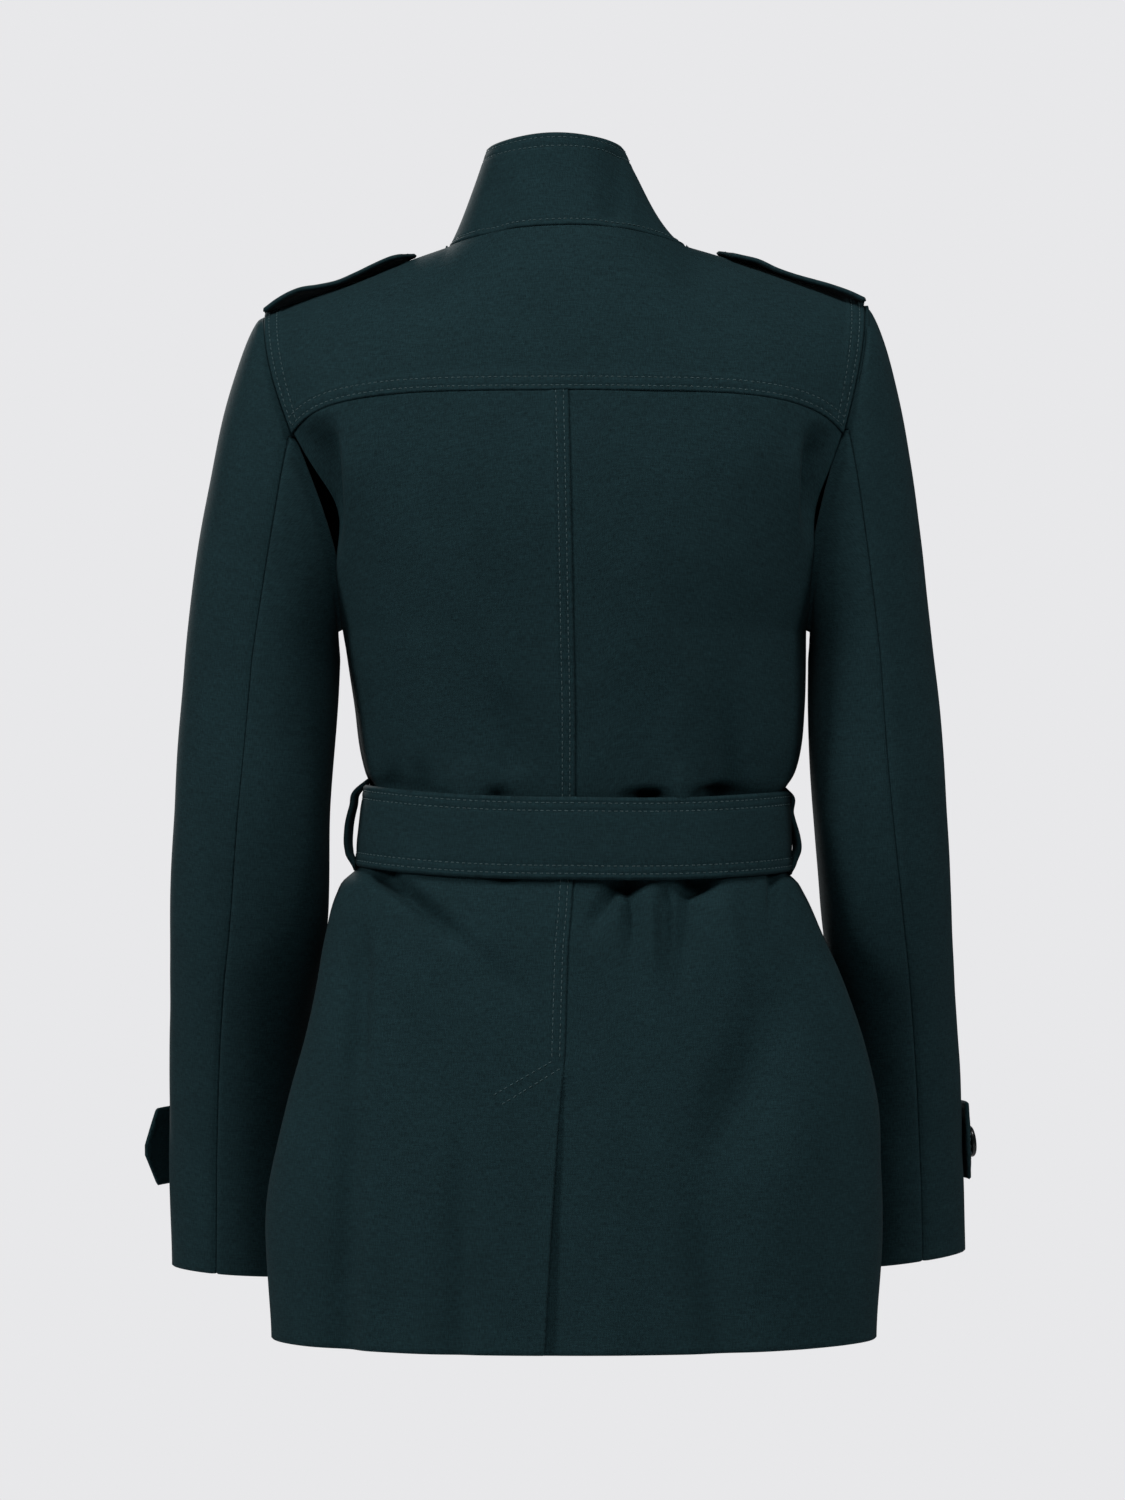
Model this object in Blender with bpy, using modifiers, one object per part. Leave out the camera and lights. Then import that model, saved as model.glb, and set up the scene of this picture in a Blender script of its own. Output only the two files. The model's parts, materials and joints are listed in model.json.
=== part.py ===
"""Utility jacket, filled out as it is worn: belted and hip-length, with a back yoke, a stand collar,
shoulder straps, two-piece sleeves with cuff straps, and a vent at the centre back.

Frame: +Z up, origin in the middle of the neck opening at the height where the shoulders meet the neck.
The wearer faces -Y, so +X is the wearer's left and the back of the jacket is on the +Y side.
The sizes below are in millimetres and degrees, and the pieces are in metres.
"""

import math
from collections import namedtuple

import bmesh
import bpy
import numpy as np
from mathutils import Vector

OBJECT_NAME = "utility_jacket"
MM = 0.001
LEFT, RIGHT = 1, -1
BACK, FRONT = 1, -1
SIDE_NAMES = {LEFT: "left", RIGHT: "right"}

# Cloth walls and the gaps at seams and between plies
CLOTH_WALL = 1.5
COLLAR_WALL = 2.6
STRAP_WALL = 2.5
SEAM_GAP = 0.9
PLIES_APART = 0.8

# Body rings from the hem up: seam is the centre line, left and right the widest points, back and front
# the depths on the centre line, side the depth of the widest points, sag the ring's dip at the back
Ring = namedtuple("Ring", "level seam left right back side front sag")
BODY = (
    Ring(-676, 3, 182, -190, 130, 36, -122, 3),
    Ring(-577, 3, 182, -194, 123, 38, -124, 0),
    Ring(-533, 3, 171, -191, 117, 36, -123, 0),
    Ring(-496, 2, 162, -182, 112, 31, -120, 0),
    Ring(-460, 1, 154, -170, 106, 24, -116, 1),
    Ring(-431, 0, 149, -158, 101, 18, -112, 3),
    Ring(-405, -2, 142.5, -147, 94, 12, -107, 6),
    Ring(-397, -2.4, 138.5, -142.5, 91.5, 10, -105, 6.5),
    Ring(-391, -2.8, 131.5, -136, 89.5, 9, -103, 7),
    Ring(-386, -3, 126.5, -132.5, 88, 8, -102, 7),
    Ring(-380, -3.1, 125, -132.2, 87.6, 7.5, -102, 7),
    Ring(-345, -3.9, 122, -132, 85.4, 4.4, -102, 7),
    Ring(-339, -4, 121.5, -132, 85, 4, -102, 7),
    Ring(-332, -4, 124.5, -139.5, 86, 4, -103, 6.5),
    Ring(-325, -4, 126.5, -143, 87.5, 3, -104, 6),
    Ring(-318, -4, 128, -144.5, 89, 3, -105, 5),
    Ring(-290, -4, 132, -147, 95, 2, -111, 3),
    Ring(-243, -3, 139, -148, 104, 0, -121, 0),
    Ring(-190, -2, 142, -148, 111, 0, -122, 0),
    Ring(-140, -1, 150, -152, 111, 0, -110, 0),
    Ring(-96, 0, 160, -160, 103, 0, -96, 0),
)
HEM, BELT_BOTTOM, BELT_TOP, UNDERARM = -676, -386, -339, -243
SQUARENESS = {BACK: 2.35, FRONT: 1.95}

# Armholes, each an upright oval from the shoulder point down to the underarm
Armhole = namedtuple("Armhole", "shoulder top under")
ARMHOLE = {LEFT: Armhole(186, -46, 139), RIGHT: Armhole(-183, -39, -148)}
ARMHOLE_DEPTH = {BACK: 63, FRONT: 56}
ARMHOLE_HOLLOW, ARMHOLE_DRAW = 1.2, 4

# Neck seam, yoke seam, and the line across the chest where the fronts begin to turn over the shoulder
NECK_HALF, NECK_BACK, NECK_FRONT = 73, 65, 82
NECK_HEIGHTS, NECK_FRONT_BEND = (5, -4, -60), 1.6
NECK_SHARE = 0.42
NECK_LEAN = {BACK: 0.62, FRONT: 0.35}
YOKE_CENTRE, YOKE_DROP, YOKE_BEND = -98, 24, 3.5
CHEST = -122

# Front lap and back vent: how far each edge reaches, as a share of a quarter of the ring
FRONT_LAP = 0.084
VENT_TOP, VENT_SLANT, VENT_STEP = -505, 24, 40
VENT_OPEN, VENT_UNDER = 0.025, 0.105

# Collar: its top edge, and how far round its two ends reach
COLLAR_SHIFT, COLLAR_HALF, COLLAR_BACK, COLLAR_FRONT = 7, 43, 50, 68
COLLAR_HEIGHTS = (60, 54.5, 2)
COLLAR_END = 178
COLLAR_HOLLOW, COLLAR_HOLLOW_LEFT = 0.76, 0.09

# Sleeve sections: the outer and inner edge of each sleeve, the middle's depth and the half depth
Section = namedtuple("Section", "level left_out left_in right_out right_in middle deep")
SLEEVE = (
    Section(-645, 250, 173, -252, -178, -80, 47),
    Section(-560, 250, 168, -249, -174, -62, 50),
    Section(-502, 249, 163, -245, -170, -44, 52),
    Section(-430, 247, 150, -240, -160, -15, 54),
    Section(-347, 243, 146, -235, -151.5, 0, 57),
    Section(-305, 240.5, 143, -232, -149.5, -2, 59),
    Section(-262, 237.5, 140.5, -228, -149.5, -2, 61),
)
CUFF, CUFF_TILT_FROM, BICEP = -645, -560, -262
CUFF_TILT = {LEFT: 3, RIGHT: 5}
CUFF_RISE = {LEFT: 1, RIGHT: 8.5}
SLEEVE_START = 2.0
SLEEVE_HEAD, HEAD_PULL, ARM_PULL = (0.84, 0.4, -0.54), 0.3, 1.0
BACK_SEAM, FRONT_SEAM, SEAM_TURN = 77, 232, 0.8
BACK_SEAM_SWING, BACK_SEAM_SWING_END = 9, 1.5

# Shoulder straps, along the shoulder seam from the armhole towards the neck: the height of each one's top
# over the seam by its share of the length, and how far the front and back edges fall below that
StrapHeight = namedtuple("StrapHeight", "level left right")
SHOULDER_STRAP = (
    StrapHeight(0, 3.6, 3.6),
    StrapHeight(0.08, 6.0, 4.4),
    StrapHeight(0.23, 7.8, 4.8),
    StrapHeight(0.36, 5.6, 4.2),
    StrapHeight(0.48, 4.2, 3.7),
    StrapHeight(0.6, 5.0, 3.9),
    StrapHeight(0.73, 6.2, 5.6),
    StrapHeight(0.85, 6.6, 4.8),
    StrapHeight(1, 3.3, 3.3),
)
SHOULDER_STRAP_FROM, SHOULDER_STRAP_TO = 0.985, 0.19
SHOULDER_STRAP_HALF, SHOULDER_STRAP_TAPER = 22, 3
SHOULDER_STRAP_DROOP, SHOULDER_STRAP_ARCH, SHOULDER_STRAP_POINT = 4.5, 1.0, 0.9

# Cuff straps, round the front of the sleeve, with the tip standing off
CUFF_STRAP_LEVEL, CUFF_STRAP_HALF = {LEFT: -566, RIGHT: -564}, {LEFT: 24, RIGHT: 25.5}
CUFF_STRAP_FROM, CUFF_STRAP_TO = -122, {LEFT: -14, RIGHT: 14}
CUFF_STRAP_TIP, CUFF_STRAP_DROOP = {LEFT: 15, RIGHT: 2}, {LEFT: 4.5, RIGHT: 0}
CUFF_STRAP_LEAVES, CUFF_STRAP_POINT, CUFF_STRAP_BUTTON = 0.45, 0.92, 0.8
STRAP_GAP, STRAP_TIP_SHARE = 0.8, 0.12

# Belt, its free end, its loops and its buckle
BELT_GAP, BELT_WALL, BELT_ENDS_AT = 1.9, 3.0, 179.4
BELT_DROP = 3.5
BELT_END_FROM, BELT_END_TO, BELT_END_POINT, BELT_END_WALL = 184, 126, 0.85, 2.4
BELT_END_HALF = 0.48
LOOP_TOP, LOOP_HALF, LOOP_WALL = -334, 5.5, 2.8
LOOP_BOTTOM, LOOP_GAP = {LEFT: -390.5, RIGHT: -393}, {LEFT: 1.6, RIGHT: 2.2}
LOOP_BULGE, LOOP_TWIST = {LEFT: 11.5, RIGHT: 10.2}, 1.1
LOOP_FULLNESS, LOOP_LOW = 0.26, 1.2
BUCKLE_WIDTH, BUCKLE_HEIGHT, BUCKLE_RAIL, BUCKLE_THICK, BUCKLE_CORNER = 52, 60, 6, 3, 5

# Buttons, all one size: those down the front are placed by rows of the front panel
BUTTON_RADIUS, BUTTON_THICK, BUTTON_BEVEL, BUTTON_SIDES, BUTTON_GAP = 10, 3.4, 0.8, 14, 0.75
FRONT_BUTTON_ROWS = (2.5, 1.74, 1.0, 0.53, 0.33)

# Columns and rows of points on each piece: the first columns of a quarter are under the neck, and the rows
# are closer together where the cloth turns over the shoulder and at the points of the straps
NECK_COLUMNS, SHOULDER_COLUMNS = 5, 5
COLUMNS = np.append(np.linspace(0, NECK_SHARE, NECK_COLUMNS + 1),
                    np.linspace(NECK_SHARE, 1, SHOULDER_COLUMNS + 1)[1:])
SHOULDER_ROWS = (0.2, 0.4, 0.58, 0.74, 0.86, 0.95, 1)
ARMHOLE_ROWS = 5
CAP_ROWS, ARM_ROWS, UPPER_SLEEVE_COLUMNS, UNDER_SLEEVE_COLUMNS = 6, 8, 12, 9
COLLAR_ROWS, STRAP_COLUMNS, BELT_END_ROWS, LOOP_ROWS = 3, 4, 10, 16
STRAP_ROWS = (0, 0.12, 0.24, 0.36, 0.48, 0.6, 0.7, 0.78, 0.86, 0.92, 0.96, 1)
YOKE_START = 1e-6
SMALL_STEP = 1e-3
CORNER_TURNS = (0, 30, 60, 90)

# Finishes: colour and roughness
FINISHES = {
    "shell_cloth": ((0.017, 0.034, 0.039), 0.85),
    "button_horn": ((0.012, 0.014, 0.015), 0.35),
    "buckle_resin": ((0.012, 0.014, 0.015), 0.4),
}


# Curves and tables


def hermite(start, end, leave, arrive, t):
    """A cubic from start to end that leaves and arrives with the given tangents."""
    rest = 1 - t
    return (start * (1 + 2 * t) * rest**2 + end * t**2 * (3 - 2 * t)
            + leave * t * rest**2 - arrive * t**2 * rest)


def column(table, name, level):
    """One column of a table as a smooth function of the level."""
    levels = np.array([row.level for row in table], float)
    values = np.array([getattr(row, name) for row in table], float)
    slopes = np.gradient(values, levels)
    level = np.clip(level, levels[0], levels[-1])
    i = np.clip(np.searchsorted(levels, level) - 1, 0, len(levels) - 2)
    step = levels[i + 1] - levels[i]
    share = (level - levels[i]) / step
    return hermite(values[i], values[i + 1], slopes[i] * step, slopes[i + 1] * step, share)


def ease(t):
    """A soft step from 0 to 1."""
    t = np.clip(t, 0, 1)
    return t * t * (3 - 2 * t)


def points(x, y, z):
    """Coordinates, each a number or an array, as points."""
    return np.stack(np.broadcast_arrays(x, y, z), axis=-1).astype(float)


def unit(vectors):
    return vectors / np.linalg.norm(vectors, axis=-1, keepdims=True)


def lifted(surface, out, lift):
    """A surface moved out along its own normals by lift(u, v)."""
    def moved(u, v):
        across = surface(u + SMALL_STEP, v) - surface(u - SMALL_STEP, v)
        along = surface(u, v + SMALL_STEP) - surface(u, v - SMALL_STEP)
        return surface(u, v) + out * unit(np.cross(across, along)) * np.asarray(lift(u, v), float)[..., None]
    return moved


# The form of the jacket


def armhole(side, turn):
    """Armhole seam: turn 0 is the shoulder point, 90 the back, 180 the underarm, 270 the front."""
    hole = ARMHOLE[side]
    turn = np.radians(turn)
    height = (1 + np.cos(turn)) / 2
    depth = np.where(np.sin(turn) > 0, ARMHOLE_DEPTH[BACK], ARMHOLE_DEPTH[FRONT])
    x = hole.under + (hole.shoulder - hole.under) * ease(height) ** ARMHOLE_HOLLOW
    return points(x, depth * np.sin(turn), UNDERARM + (hole.top - UNDERARM) * height)


def armhole_turn(side, level):
    """How far round the armhole a level lies, from the shoulder point."""
    height = np.clip((level - UNDERARM) / (ARMHOLE[side].top - UNDERARM), 0, 1)
    return np.degrees(np.arccos(2 * height - 1))


def ring(side, face, across, level):
    """A quarter of the body's ring, from the centre line (across 0) to the side seam or the armhole (1)."""
    centre = column(BODY, "seam", level)
    widest = column(BODY, "side", level)
    depth = np.abs(column(BODY, "back" if face == BACK else "front", level) - widest)
    power = 2 / SQUARENESS[face]
    edge = armhole(side, face * armhole_turn(side, level))
    above = level > UNDERARM
    edge_angle = np.arccos(np.clip(np.abs(edge[..., 1] - widest) / depth, 0, 1) ** (1 / power))
    edge_angle = np.where(above, edge_angle, np.pi / 2)
    reach = np.where(above, edge[..., 0], column(BODY, SIDE_NAMES[side], level)) - centre
    angle = across * edge_angle
    x = centre + reach * np.sign(angle) * np.abs(np.sin(angle) / np.sin(edge_angle)) ** power
    y = widest + face * depth * np.abs(np.cos(angle)) ** power
    dip = column(BODY, "sag", level) * np.cos(angle) ** 2 * (face == BACK)
    return points(x, y, level - dip)


def belt_line(angle, level):
    """The body's whole ring at a level: angle 0 is the centre back, 90 the left side, 180 the front."""
    angle = (np.asarray(angle, float) + 180) % 360 - 180
    turn = np.abs(angle)
    quarters = {
        (side, face): ring(side, face, turn / 90 if face == BACK else (180 - turn) / 90, level)
        for side in (LEFT, RIGHT) for face in (BACK, FRONT)
    }
    left = np.where((turn <= 90)[..., None], quarters[LEFT, BACK], quarters[LEFT, FRONT])
    right = np.where((turn <= 90)[..., None], quarters[RIGHT, BACK], quarters[RIGHT, FRONT])
    return np.where((angle >= 0)[..., None], left, right)


def neck_ring(angle, centre, half, back, front, heights):
    """A ring round the neck: angle 0 is the centre back, 90 the left shoulder, 180 the centre front."""
    angle = np.radians(angle)
    behind = np.clip(np.cos(angle), 0, 1)
    before = np.clip(-np.cos(angle), 0, 1)
    at_back, at_side, at_front = heights
    z = at_side + (at_back - at_side) * behind**2 + (at_front - at_side) * before**NECK_FRONT_BEND
    return points(centre + half * np.sin(angle), back * behind - front * before, z)


def neck_seam(angle):
    return neck_ring(angle, 0, NECK_HALF, NECK_BACK, NECK_FRONT, NECK_HEIGHTS)


def shoulder_seam(side, share):
    """Shoulder seam, from the neck (0) to the armhole (1)."""
    start = neck_seam(side * 90)
    return start + (armhole(side, 0) - start) * np.asarray(share, float)[..., None]


def low_line(face, across):
    """Level where the upper body begins: the yoke seam at the back, a level line at the chest."""
    if face == BACK:
        return YOKE_CENTRE - YOKE_DROP * np.abs(across) ** YOKE_BEND
    return CHEST + 0 * across


def top_line(side, face, across):
    """Top edge of a quarter: the neck seam, then the shoulder seam out to the armhole."""
    share = across / NECK_SHARE
    at_neck = neck_seam(side * (90 * share if face == BACK else 180 - 90 * share))
    at_shoulder = shoulder_seam(side, np.clip((across - NECK_SHARE) / (1 - NECK_SHARE), 0, None))
    return np.where((across < NECK_SHARE)[..., None], at_neck, at_shoulder)


def shoulder_turn(side, face, across, rise):
    """Cloth from the yoke seam or the chest (rise 0) over to the neck and shoulder seams (rise 1)."""
    level = low_line(face, across)
    low = ring(side, face, across, level)
    high = top_line(side, face, across)
    length = np.linalg.norm(high - low, axis=-1, keepdims=True)
    leave = unit(ring(side, face, across, level + 1) - low) * length
    lean = NECK_LEAN[face] + (1 - NECK_LEAN[face]) * ease(np.abs(across) / NECK_SHARE)
    arrive = points(0, -face * lean, np.sqrt(1 - lean**2)) * length
    return hermite(low, high, leave, arrive, rise[..., None])


def upper(side, face, across, rise):
    """Upper body, with its outer edge drawn onto the armhole seam."""
    start = armhole_turn(side, low_line(face, 1.0))
    seam = armhole(side, face * start * (1 - rise))
    drawn = seam - shoulder_turn(side, face, np.ones_like(rise), rise)
    return shoulder_turn(side, face, across, rise) + drawn * (across**ARMHOLE_DRAW)[..., None]


def quarter(side, face):
    """Surface of a quarter of the jacket: rows 0 to 1 run from hem to underarm, 1 to 2 up to the yoke seam
    or the chest, and 2 to 3 over the shoulder."""
    def surface(across, row):
        across, row = np.broadcast_arrays(np.asarray(across, float), np.asarray(row, float))
        start = math.radians(armhole_turn(side, low_line(face, 1.0)))
        climb = np.clip(row - 1, 0, 1)
        share = (1 - np.cos((np.pi - start) * climb)) / (1 + math.cos(start))
        level = HEM + (UNDERARM - HEM) * np.clip(row, 0, 1) + (low_line(face, across) - UNDERARM) * share
        over = upper(side, face, across, np.clip(row - 2, 0, None))
        return np.where((row > 2)[..., None], over, ring(side, face, across, level))
    return surface


def sleeve_ring(side, turn, level):
    """Sleeve below the armhole: turn 0 is the outside, 90 the back, 180 the inside, 270 the front."""
    outer = column(SLEEVE, SIDE_NAMES[side] + "_out", level)
    inner = column(SLEEVE, SIDE_NAMES[side] + "_in", level)
    turn = np.radians(turn)
    near_cuff = ease((CUFF_TILT_FROM - level) / (CUFF_TILT_FROM - CUFF))
    x = (outer + inner) / 2 + (outer - inner) / 2 * np.cos(turn)
    y = column(SLEEVE, "middle", level) + column(SLEEVE, "deep", level) * np.sin(turn)
    return points(x, y, level + near_cuff * (CUFF_RISE[side] + CUFF_TILT[side] * np.cos(turn)))


def sleeve(side):
    """Surface of a sleeve: drop 0 to 1 runs from the armhole to the upper arm, 1 to 2 down to the cuff."""
    def surface(turn, drop):
        turn, drop = np.broadcast_arrays(np.asarray(turn, float), np.asarray(drop, float))
        out, back, down = SLEEVE_HEAD
        away = unit(points(side * out, back * np.sin(np.radians(turn)), down))
        start = armhole(side, turn) + SLEEVE_START * away
        end = sleeve_ring(side, turn, BICEP)
        length = np.linalg.norm(end - start, axis=-1, keepdims=True)
        along = unit(sleeve_ring(side, turn, BICEP - 1) - end)
        leave, arrive = away * length * HEAD_PULL, along * length * ARM_PULL
        cap = hermite(start, end, leave, arrive, np.clip(drop, None, 1)[..., None])
        arm = sleeve_ring(side, turn, BICEP + (CUFF - BICEP) * np.clip(drop - 1, 0, 1))
        return np.where((drop > 1)[..., None], arm, cap)
    return surface


# Making the pieces


def finish(name):
    """The material of one finish, made on first use."""
    material = bpy.data.materials.get(name)
    if material is None:
        colour, roughness = FINISHES[name]
        material = bpy.data.materials.new(name)
        material.use_nodes = True
        shader = material.node_tree.nodes["Principled BSDF"]
        shader.inputs["Base Color"].default_value = (*colour, 1)
        shader.inputs["Roughness"].default_value = roughness
    return material


def add_object(name, data, finish_name):
    """Add a named object to the jacket's collection."""
    made = bpy.data.objects.new(name, data)
    made.data.materials.append(finish(finish_name))
    bpy.data.collections[OBJECT_NAME].objects.link(made)
    return made


def cloth(name, surface, us, vs, wall, out, apart=(0, 0, 0)):
    """A cloth piece: a grid laid on a surface, given its wall on the inner side by Solidify."""
    us = np.asarray(us, float)
    vs = np.asarray(vs, float)
    shape = bmesh.new()
    bmesh.ops.create_grid(shape, x_segments=len(us) - 1, y_segments=len(vs) - 1, size=1)
    grid = np.array([vert.co for vert in shape.verts])
    columns = np.rint((grid[:, 0] + 1) / 2 * (len(us) - 1)).astype(int)
    rows = np.rint((grid[:, 1] + 1) / 2 * (len(vs) - 1)).astype(int)
    places = (surface(us[columns], vs[rows]) + np.array(apart)) * MM
    for vert, place in zip(shape.verts, places):
        vert.co = place
    if out < 0:
        bmesh.ops.reverse_faces(shape, faces=shape.faces)
    mesh = bpy.data.meshes.new(name)
    shape.to_mesh(mesh)
    shape.free()
    mesh.shade_smooth()
    made = add_object(name, mesh, "shell_cloth")
    solidify = made.modifiers.new("wall", "SOLIDIFY")
    solidify.thickness = wall * MM
    solidify.offset = -1
    return made


def panel_rows():
    """Rows of a body panel up to the underarm, at the body's own rings."""
    return [(row.level - HEM) / (UNDERARM - HEM) for row in BODY if row.level <= UNDERARM]


def add_back(side):
    """Back panel with its half of the vent: the left one is on top and falls open, the right runs under."""
    panel = quarter(side, BACK)

    def edge(row):
        below = VENT_TOP - (HEM + (UNDERARM - HEM) * row)
        if side == LEFT:
            return VENT_OPEN * np.clip(below / (VENT_TOP - HEM), 0, 1)
        return -VENT_UNDER * np.clip(below / VENT_SLANT, 0, 1)

    def tucked(across, row):
        near_vent = ease((VENT_TOP + VENT_STEP - (HEM + (UNDERARM - HEM) * row)) / VENT_STEP)
        near_edge = ease((2 * FRONT_LAP - across) / FRONT_LAP)
        return -(CLOTH_WALL + PLIES_APART) * near_vent * near_edge * (side == RIGHT)

    def surface(share, row):
        start = edge(row)
        return lifted(panel, -side, tucked)(start + (1 - start) * share, row)

    slant_rows = [(VENT_TOP - drop - HEM) / (UNDERARM - HEM) for drop in (0, VENT_SLANT)]
    rows = sorted(panel_rows() + slant_rows) + list(1 + np.arange(1, ARMHOLE_ROWS + 1) / ARMHOLE_ROWS)
    apart = (side * SEAM_GAP / 2, SEAM_GAP / 2, -SEAM_GAP)
    cloth("back_" + SIDE_NAMES[side], surface, COLUMNS, rows, CLOTH_WALL, -side, apart)


def add_yoke():
    """Back yoke, one piece from armhole to armhole."""
    halves = {side: quarter(side, BACK) for side in (LEFT, RIGHT)}

    def surface(across, row):
        left = halves[LEFT](np.abs(across), row)
        right = halves[RIGHT](np.abs(across), row)
        return np.where((across >= 0)[..., None], left, right)

    across = np.append(-COLUMNS[:0:-1], COLUMNS)
    rows = [2 + row for row in (YOKE_START, *SHOULDER_ROWS)]
    cloth("back_yoke", surface, across, rows, CLOTH_WALL, -1, (0, SEAM_GAP / 2, 0))


def add_front(side):
    """Front panel: the wearer's right laps over the left, which dips to lie under it."""
    panel = quarter(side, FRONT)

    def dipped(across, row):
        return -(CLOTH_WALL + PLIES_APART) * ease((3 * FRONT_LAP - across) / FRONT_LAP) * (side == LEFT)

    rows = panel_rows() + list(1 + np.arange(1, ARMHOLE_ROWS + 1) / ARMHOLE_ROWS)
    rows = rows + [2 + row for row in SHOULDER_ROWS]
    across = np.append(-FRONT_LAP, COLUMNS)
    apart = (side * SEAM_GAP / 2, -SEAM_GAP / 2, 0)
    cloth("front_" + SIDE_NAMES[side], lifted(panel, side, dipped), across, rows, CLOTH_WALL, side, apart)


def add_collar():
    """Stand collar, leaning in from the neck seam, its two ends meeting at the centre front."""
    def surface(angle, up):
        base = neck_seam(angle)
        top = neck_ring(angle, COLLAR_SHIFT, COLLAR_HALF, COLLAR_BACK, COLLAR_FRONT, COLLAR_HEIGHTS)
        lean = np.clip(up, 0, 1) ** (COLLAR_HOLLOW + COLLAR_HOLLOW_LEFT * np.sin(np.radians(angle)))
        return base + (top - base) * points(lean, lean, up)

    angles = np.linspace(-180, 180, 4 * NECK_COLUMNS + 1)
    angles[0], angles[-1] = -COLLAR_END, COLLAR_END
    cloth("collar", surface, angles, np.linspace(0, 1, COLLAR_ROWS + 1), COLLAR_WALL, -1, (0, 0, SEAM_GAP))


def add_sleeve(side):
    """Two-piece sleeve: the upper sleeve outside, the under sleeve inside."""
    drops = np.append(np.linspace(0, 1, CAP_ROWS + 1), 1 + np.arange(1, ARM_ROWS + 1) / ARM_ROWS)
    form = sleeve(side)

    def back_seam(drop):
        return BACK_SEAM + BACK_SEAM_SWING * np.sin(np.pi * np.clip(drop / BACK_SEAM_SWING_END, 0, 1))

    def upper_sleeve(share, drop):
        start = FRONT_SEAM - 360 + SEAM_TURN
        return form(start + (back_seam(drop) - SEAM_TURN - start) * share, drop)

    def under_sleeve(share, drop):
        start = back_seam(drop) + SEAM_TURN
        return form(start + (FRONT_SEAM - SEAM_TURN - start) * share, drop)

    name = SIDE_NAMES[side]
    upper_columns = np.linspace(0, 1, UPPER_SLEEVE_COLUMNS + 1)
    under_columns = np.linspace(0, 1, UNDER_SLEEVE_COLUMNS + 1)
    cloth("sleeve_upper_" + name, upper_sleeve, upper_columns, drops, CLOTH_WALL, -side)
    cloth("sleeve_under_" + name, under_sleeve, under_columns, drops, CLOTH_WALL, -side)


def pointed(share, from_share):
    """Width of a strap along its length, narrowing to a blunt point at its free end."""
    return 1 - (1 - STRAP_TIP_SHARE) * np.clip((share - from_share) / (1 - from_share), 0, 1)


def shoulder_strap(side):
    """Surface of a shoulder strap, from the armhole (0) to its free end by the neck (1)."""
    def surface(share, across):
        along = SHOULDER_STRAP_FROM + (SHOULDER_STRAP_TO - SHOULDER_STRAP_FROM) * share
        crest = shoulder_seam(side, along)
        half = (SHOULDER_STRAP_HALF - SHOULDER_STRAP_TAPER * share) * pointed(share, SHOULDER_STRAP_POINT)
        fall = np.where(across < 0, SHOULDER_STRAP_DROOP, SHOULDER_STRAP_ARCH)
        fall = fall * (half * across / SHOULDER_STRAP_HALF) ** 2
        return crest + points(0, half * across, column(SHOULDER_STRAP, SIDE_NAMES[side], share) - fall)
    return surface


def cuff_strap(side):
    """Surface of a cuff strap, from the front sleeve seam (0) to its free end on the outside (1)."""
    def free(share):
        return np.clip((share - CUFF_STRAP_LEAVES) / (1 - CUFF_STRAP_LEAVES), 0, 1) ** 2

    def on_sleeve(share, across):
        turn = CUFF_STRAP_FROM + (CUFF_STRAP_TO[side] - CUFF_STRAP_FROM) * share
        off_middle = CUFF_STRAP_HALF[side] * across * pointed(share, CUFF_STRAP_POINT)
        level = CUFF_STRAP_LEVEL[side] + off_middle - CUFF_STRAP_DROOP[side] * free(share)
        return sleeve_ring(side, turn, level)

    def lift(share, across):
        return STRAP_GAP + STRAP_WALL + CUFF_STRAP_TIP[side] * free(share)

    return lifted(on_sleeve, side, lift)


def add_straps(side):
    """Shoulder strap and cuff strap of one side, and the cuff strap's button."""
    across = np.linspace(-1, 1, STRAP_COLUMNS + 1)
    name = SIDE_NAMES[side]
    cloth("shoulder_strap_" + name, shoulder_strap(side), STRAP_ROWS, across, STRAP_WALL, -side)
    cloth("cuff_strap_" + name, cuff_strap(side), STRAP_ROWS, across, STRAP_WALL, side)
    add_button("button_cuff_" + name, cuff_strap(side), (CUFF_STRAP_BUTTON, 0), side)


def add_belt():
    """Belt round the waist, its ends meeting under the buckle, and the free end lying over it."""
    def band(lift):
        def off_body(angle, level):
            level = level - BELT_DROP * np.clip(-np.sin(np.radians(angle)), 0, 1)
            run = belt_line(angle + SMALL_STEP, level) - belt_line(angle - SMALL_STEP, level)
            return belt_line(angle, level) + lift * unit(np.cross((0, 0, 1), run))

        def surface(angle, up):
            low = off_body(angle, BELT_BOTTOM)
            return low + (off_body(angle, BELT_TOP) - low) * np.asarray(up, float)[..., None]
        return surface

    half_ring = np.append(90 * COLUMNS, 180 - 90 * COLUMNS[-2::-1])
    half_ring[-1] = BELT_ENDS_AT
    angles = np.append(-half_ring[:0:-1], half_ring)
    outer = BELT_GAP + BELT_WALL
    cloth("belt", band(outer), angles, (0, 1), BELT_WALL, -1)

    over_belt = band(outer + STRAP_GAP + BELT_END_WALL)

    def free_end(share, across):
        angle = BELT_END_FROM + (BELT_END_TO - BELT_END_FROM) * share
        return over_belt(angle, 0.5 + BELT_END_HALF * across * pointed(share, BELT_END_POINT))

    shares = np.append(np.linspace(0, BELT_END_POINT, BELT_END_ROWS + 1), 1)
    cloth("belt_end", free_end, shares, (-1, 1), BELT_END_WALL, 1)
    lift = outer + STRAP_GAP + BELT_END_WALL + SEAM_GAP
    add_buckle(band(lift)(np.array(180.0), 0.5))


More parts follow.
